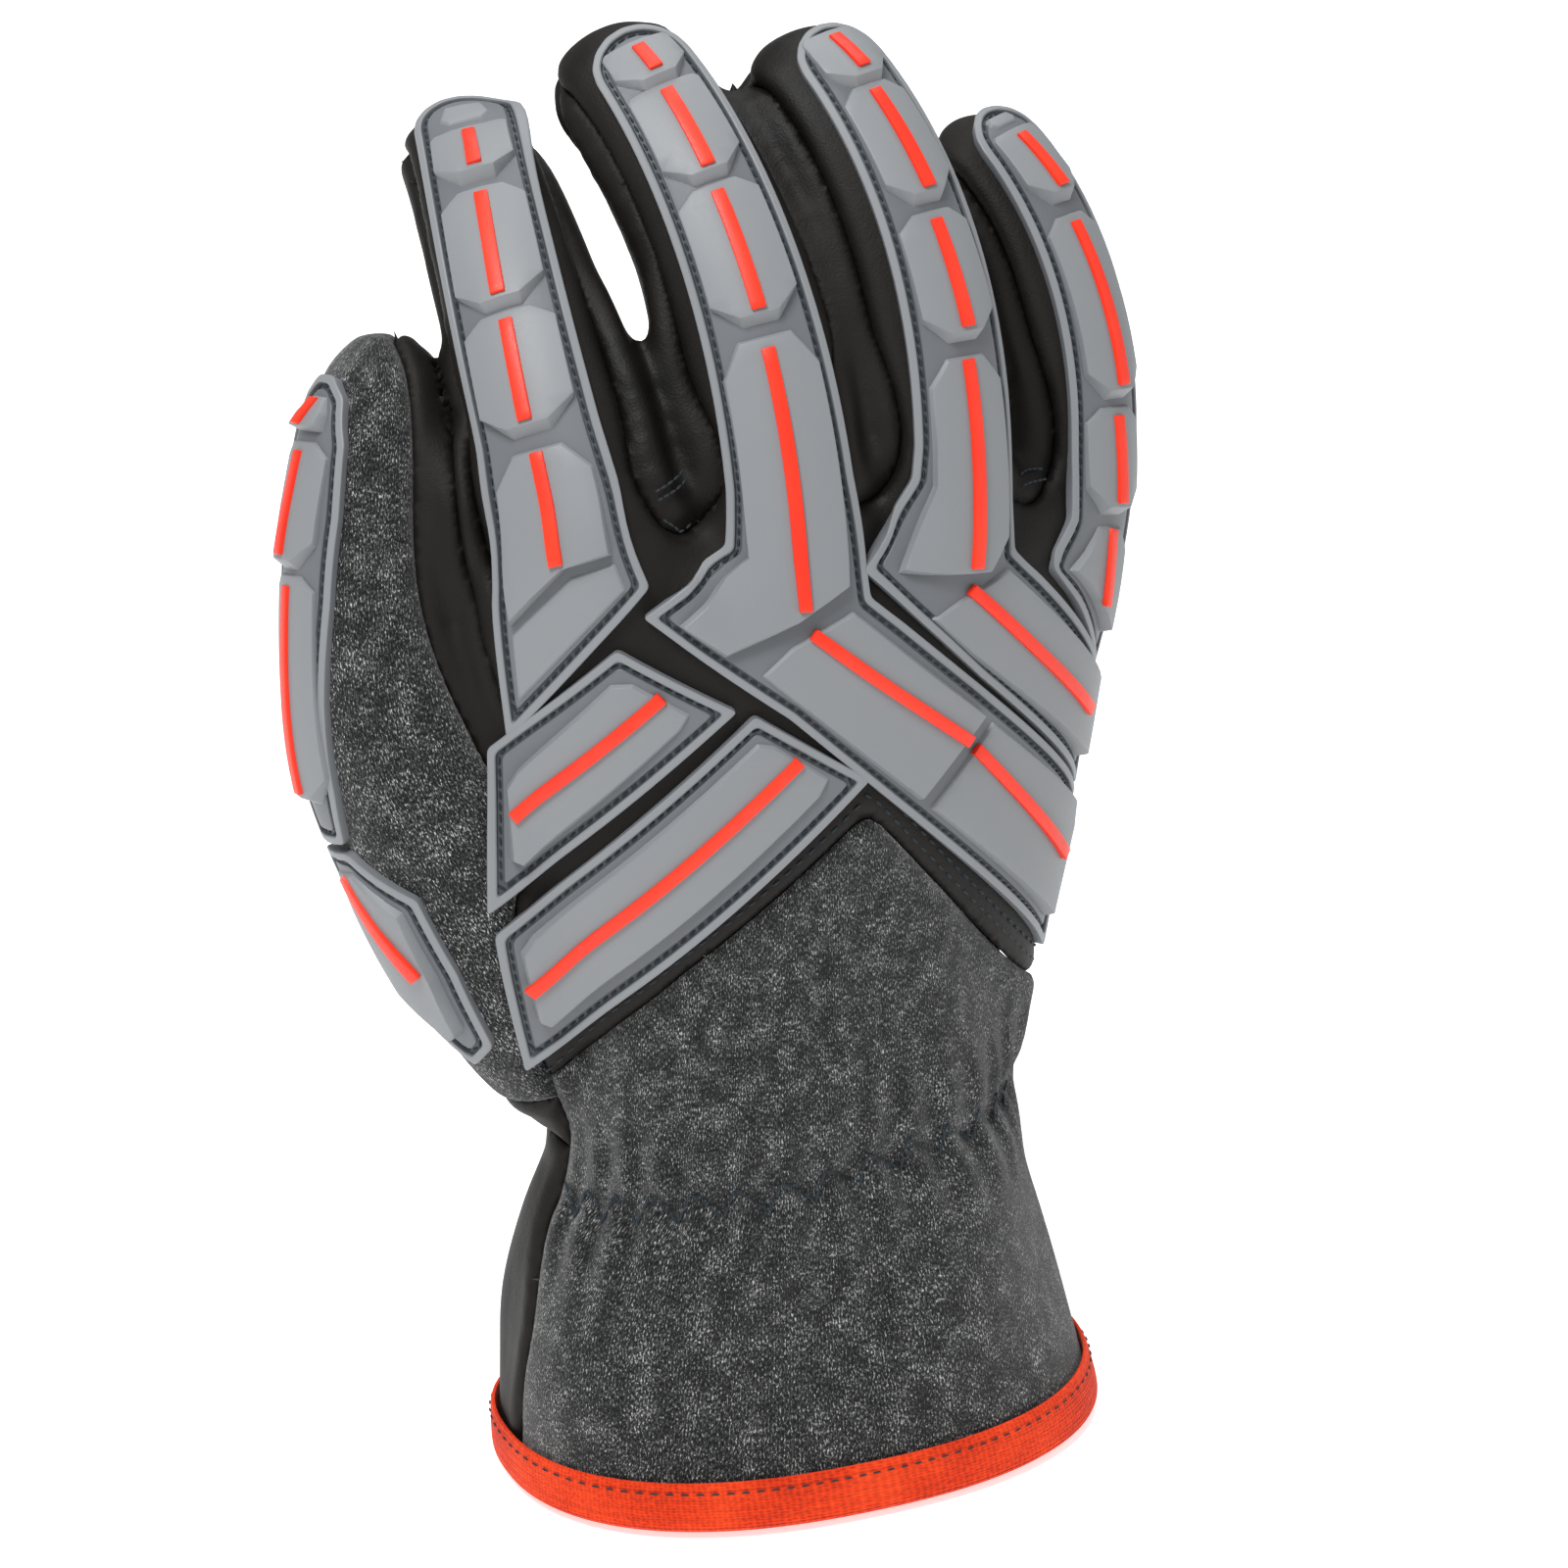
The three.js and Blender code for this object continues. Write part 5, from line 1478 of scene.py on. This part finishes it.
# %% Hem
tape = Material("tape", Specular_IOR_Level=0.12, Roughness=0.9, Sheen_Weight=0.08)
grid = tape.attribute("grid", "Vector")
loops = tape.node("TexVoronoi", {"Vector": tape.stretched(grid, (1.1, 1.9, 1)), "Scale": 1.0,
                                 "Randomness": 0.35}).outputs["Distance"]
ribs = tape.bands(tape.stretched(grid, (0, 1, 1)), 0.42, 0.4, "Y")
shade = tape.total((loops, 0.55), (tape.noise(tape.place(), 90, 3), 0.5))
tape.colour(tape.ramp(shade, (0.25, "a8260f"), (0.5, "dc3a14"), (0.8, "f25426")))
tape.bump((ribs, 0.5, 0.0005), (loops, 0.5, 0.0004))

# %% Rubber of the guards and bars, thread
rubber = Material("rubber", Specular_IOR_Level=0.45)
# The tint picks the rubber's colour: its lightest values are painted highlights on the rim and the pads'
# bevels, its darkest painted shade in the channel.
tint = rubber.attribute("tint")
dust = rubber.noise(rubber.place(), 3800, 2, 0.7)
haze = rubber.noise(rubber.place(), 35, 3)
body = rubber.ramp(tint, (0.3, "24282b"), (0.55, "42464a"), (0.8, "5e6165"), (0.92, "6a6d70"),
                   (1.0, "7c7f82"))
rubber.colour(rubber.blend(rubber.total((haze, 0.22)), body, linear("73767a")))
rubber.rough(rubber.ramp(dust, (0.3, 0.44), (0.7, 0.6)))
rubber.bump((haze, 0.1, 0.0008), (dust, 0.12, 0.00008))

red = Material("red_rubber", Specular_IOR_Level=0.4)
red_dust = red.noise(red.place(), 3000, 2, 0.7)
red_cloud = red.noise(red.place(), 70, 3)
red.colour(red.ramp(red_cloud, (0.3, "e22a10"), (0.7, "ee3416")))
red.rough(red.ramp(red_dust, (0.3, 0.38), (0.7, 0.55)))
red.bump((red_dust, 0.15, 0.0001))

thread = Material("thread", Specular_IOR_Level=0.3, Roughness=0.7)
strand = thread.node("TexWave", {"Vector": thread.place(), "Scale": 900, "Distortion": 3}).outputs["Fac"]
thread.colour(thread.ramp(strand, (0, "141b1f"), (1, "2c3940")))
thread.bump((strand, 0.4, 0.0001))

PAINTS = {"knit": knit, "guard": rubber, "bar": red, "hem": tape, "thread": thread}
for name, piece in PANELS.items():
    piece.data.materials.append(PAINTS.get(name.split("_")[0], leather).data)

# %% Areas of the knit cloth
print("cloth", {name: round(area, 5) for name, area in CLOTH.items()})
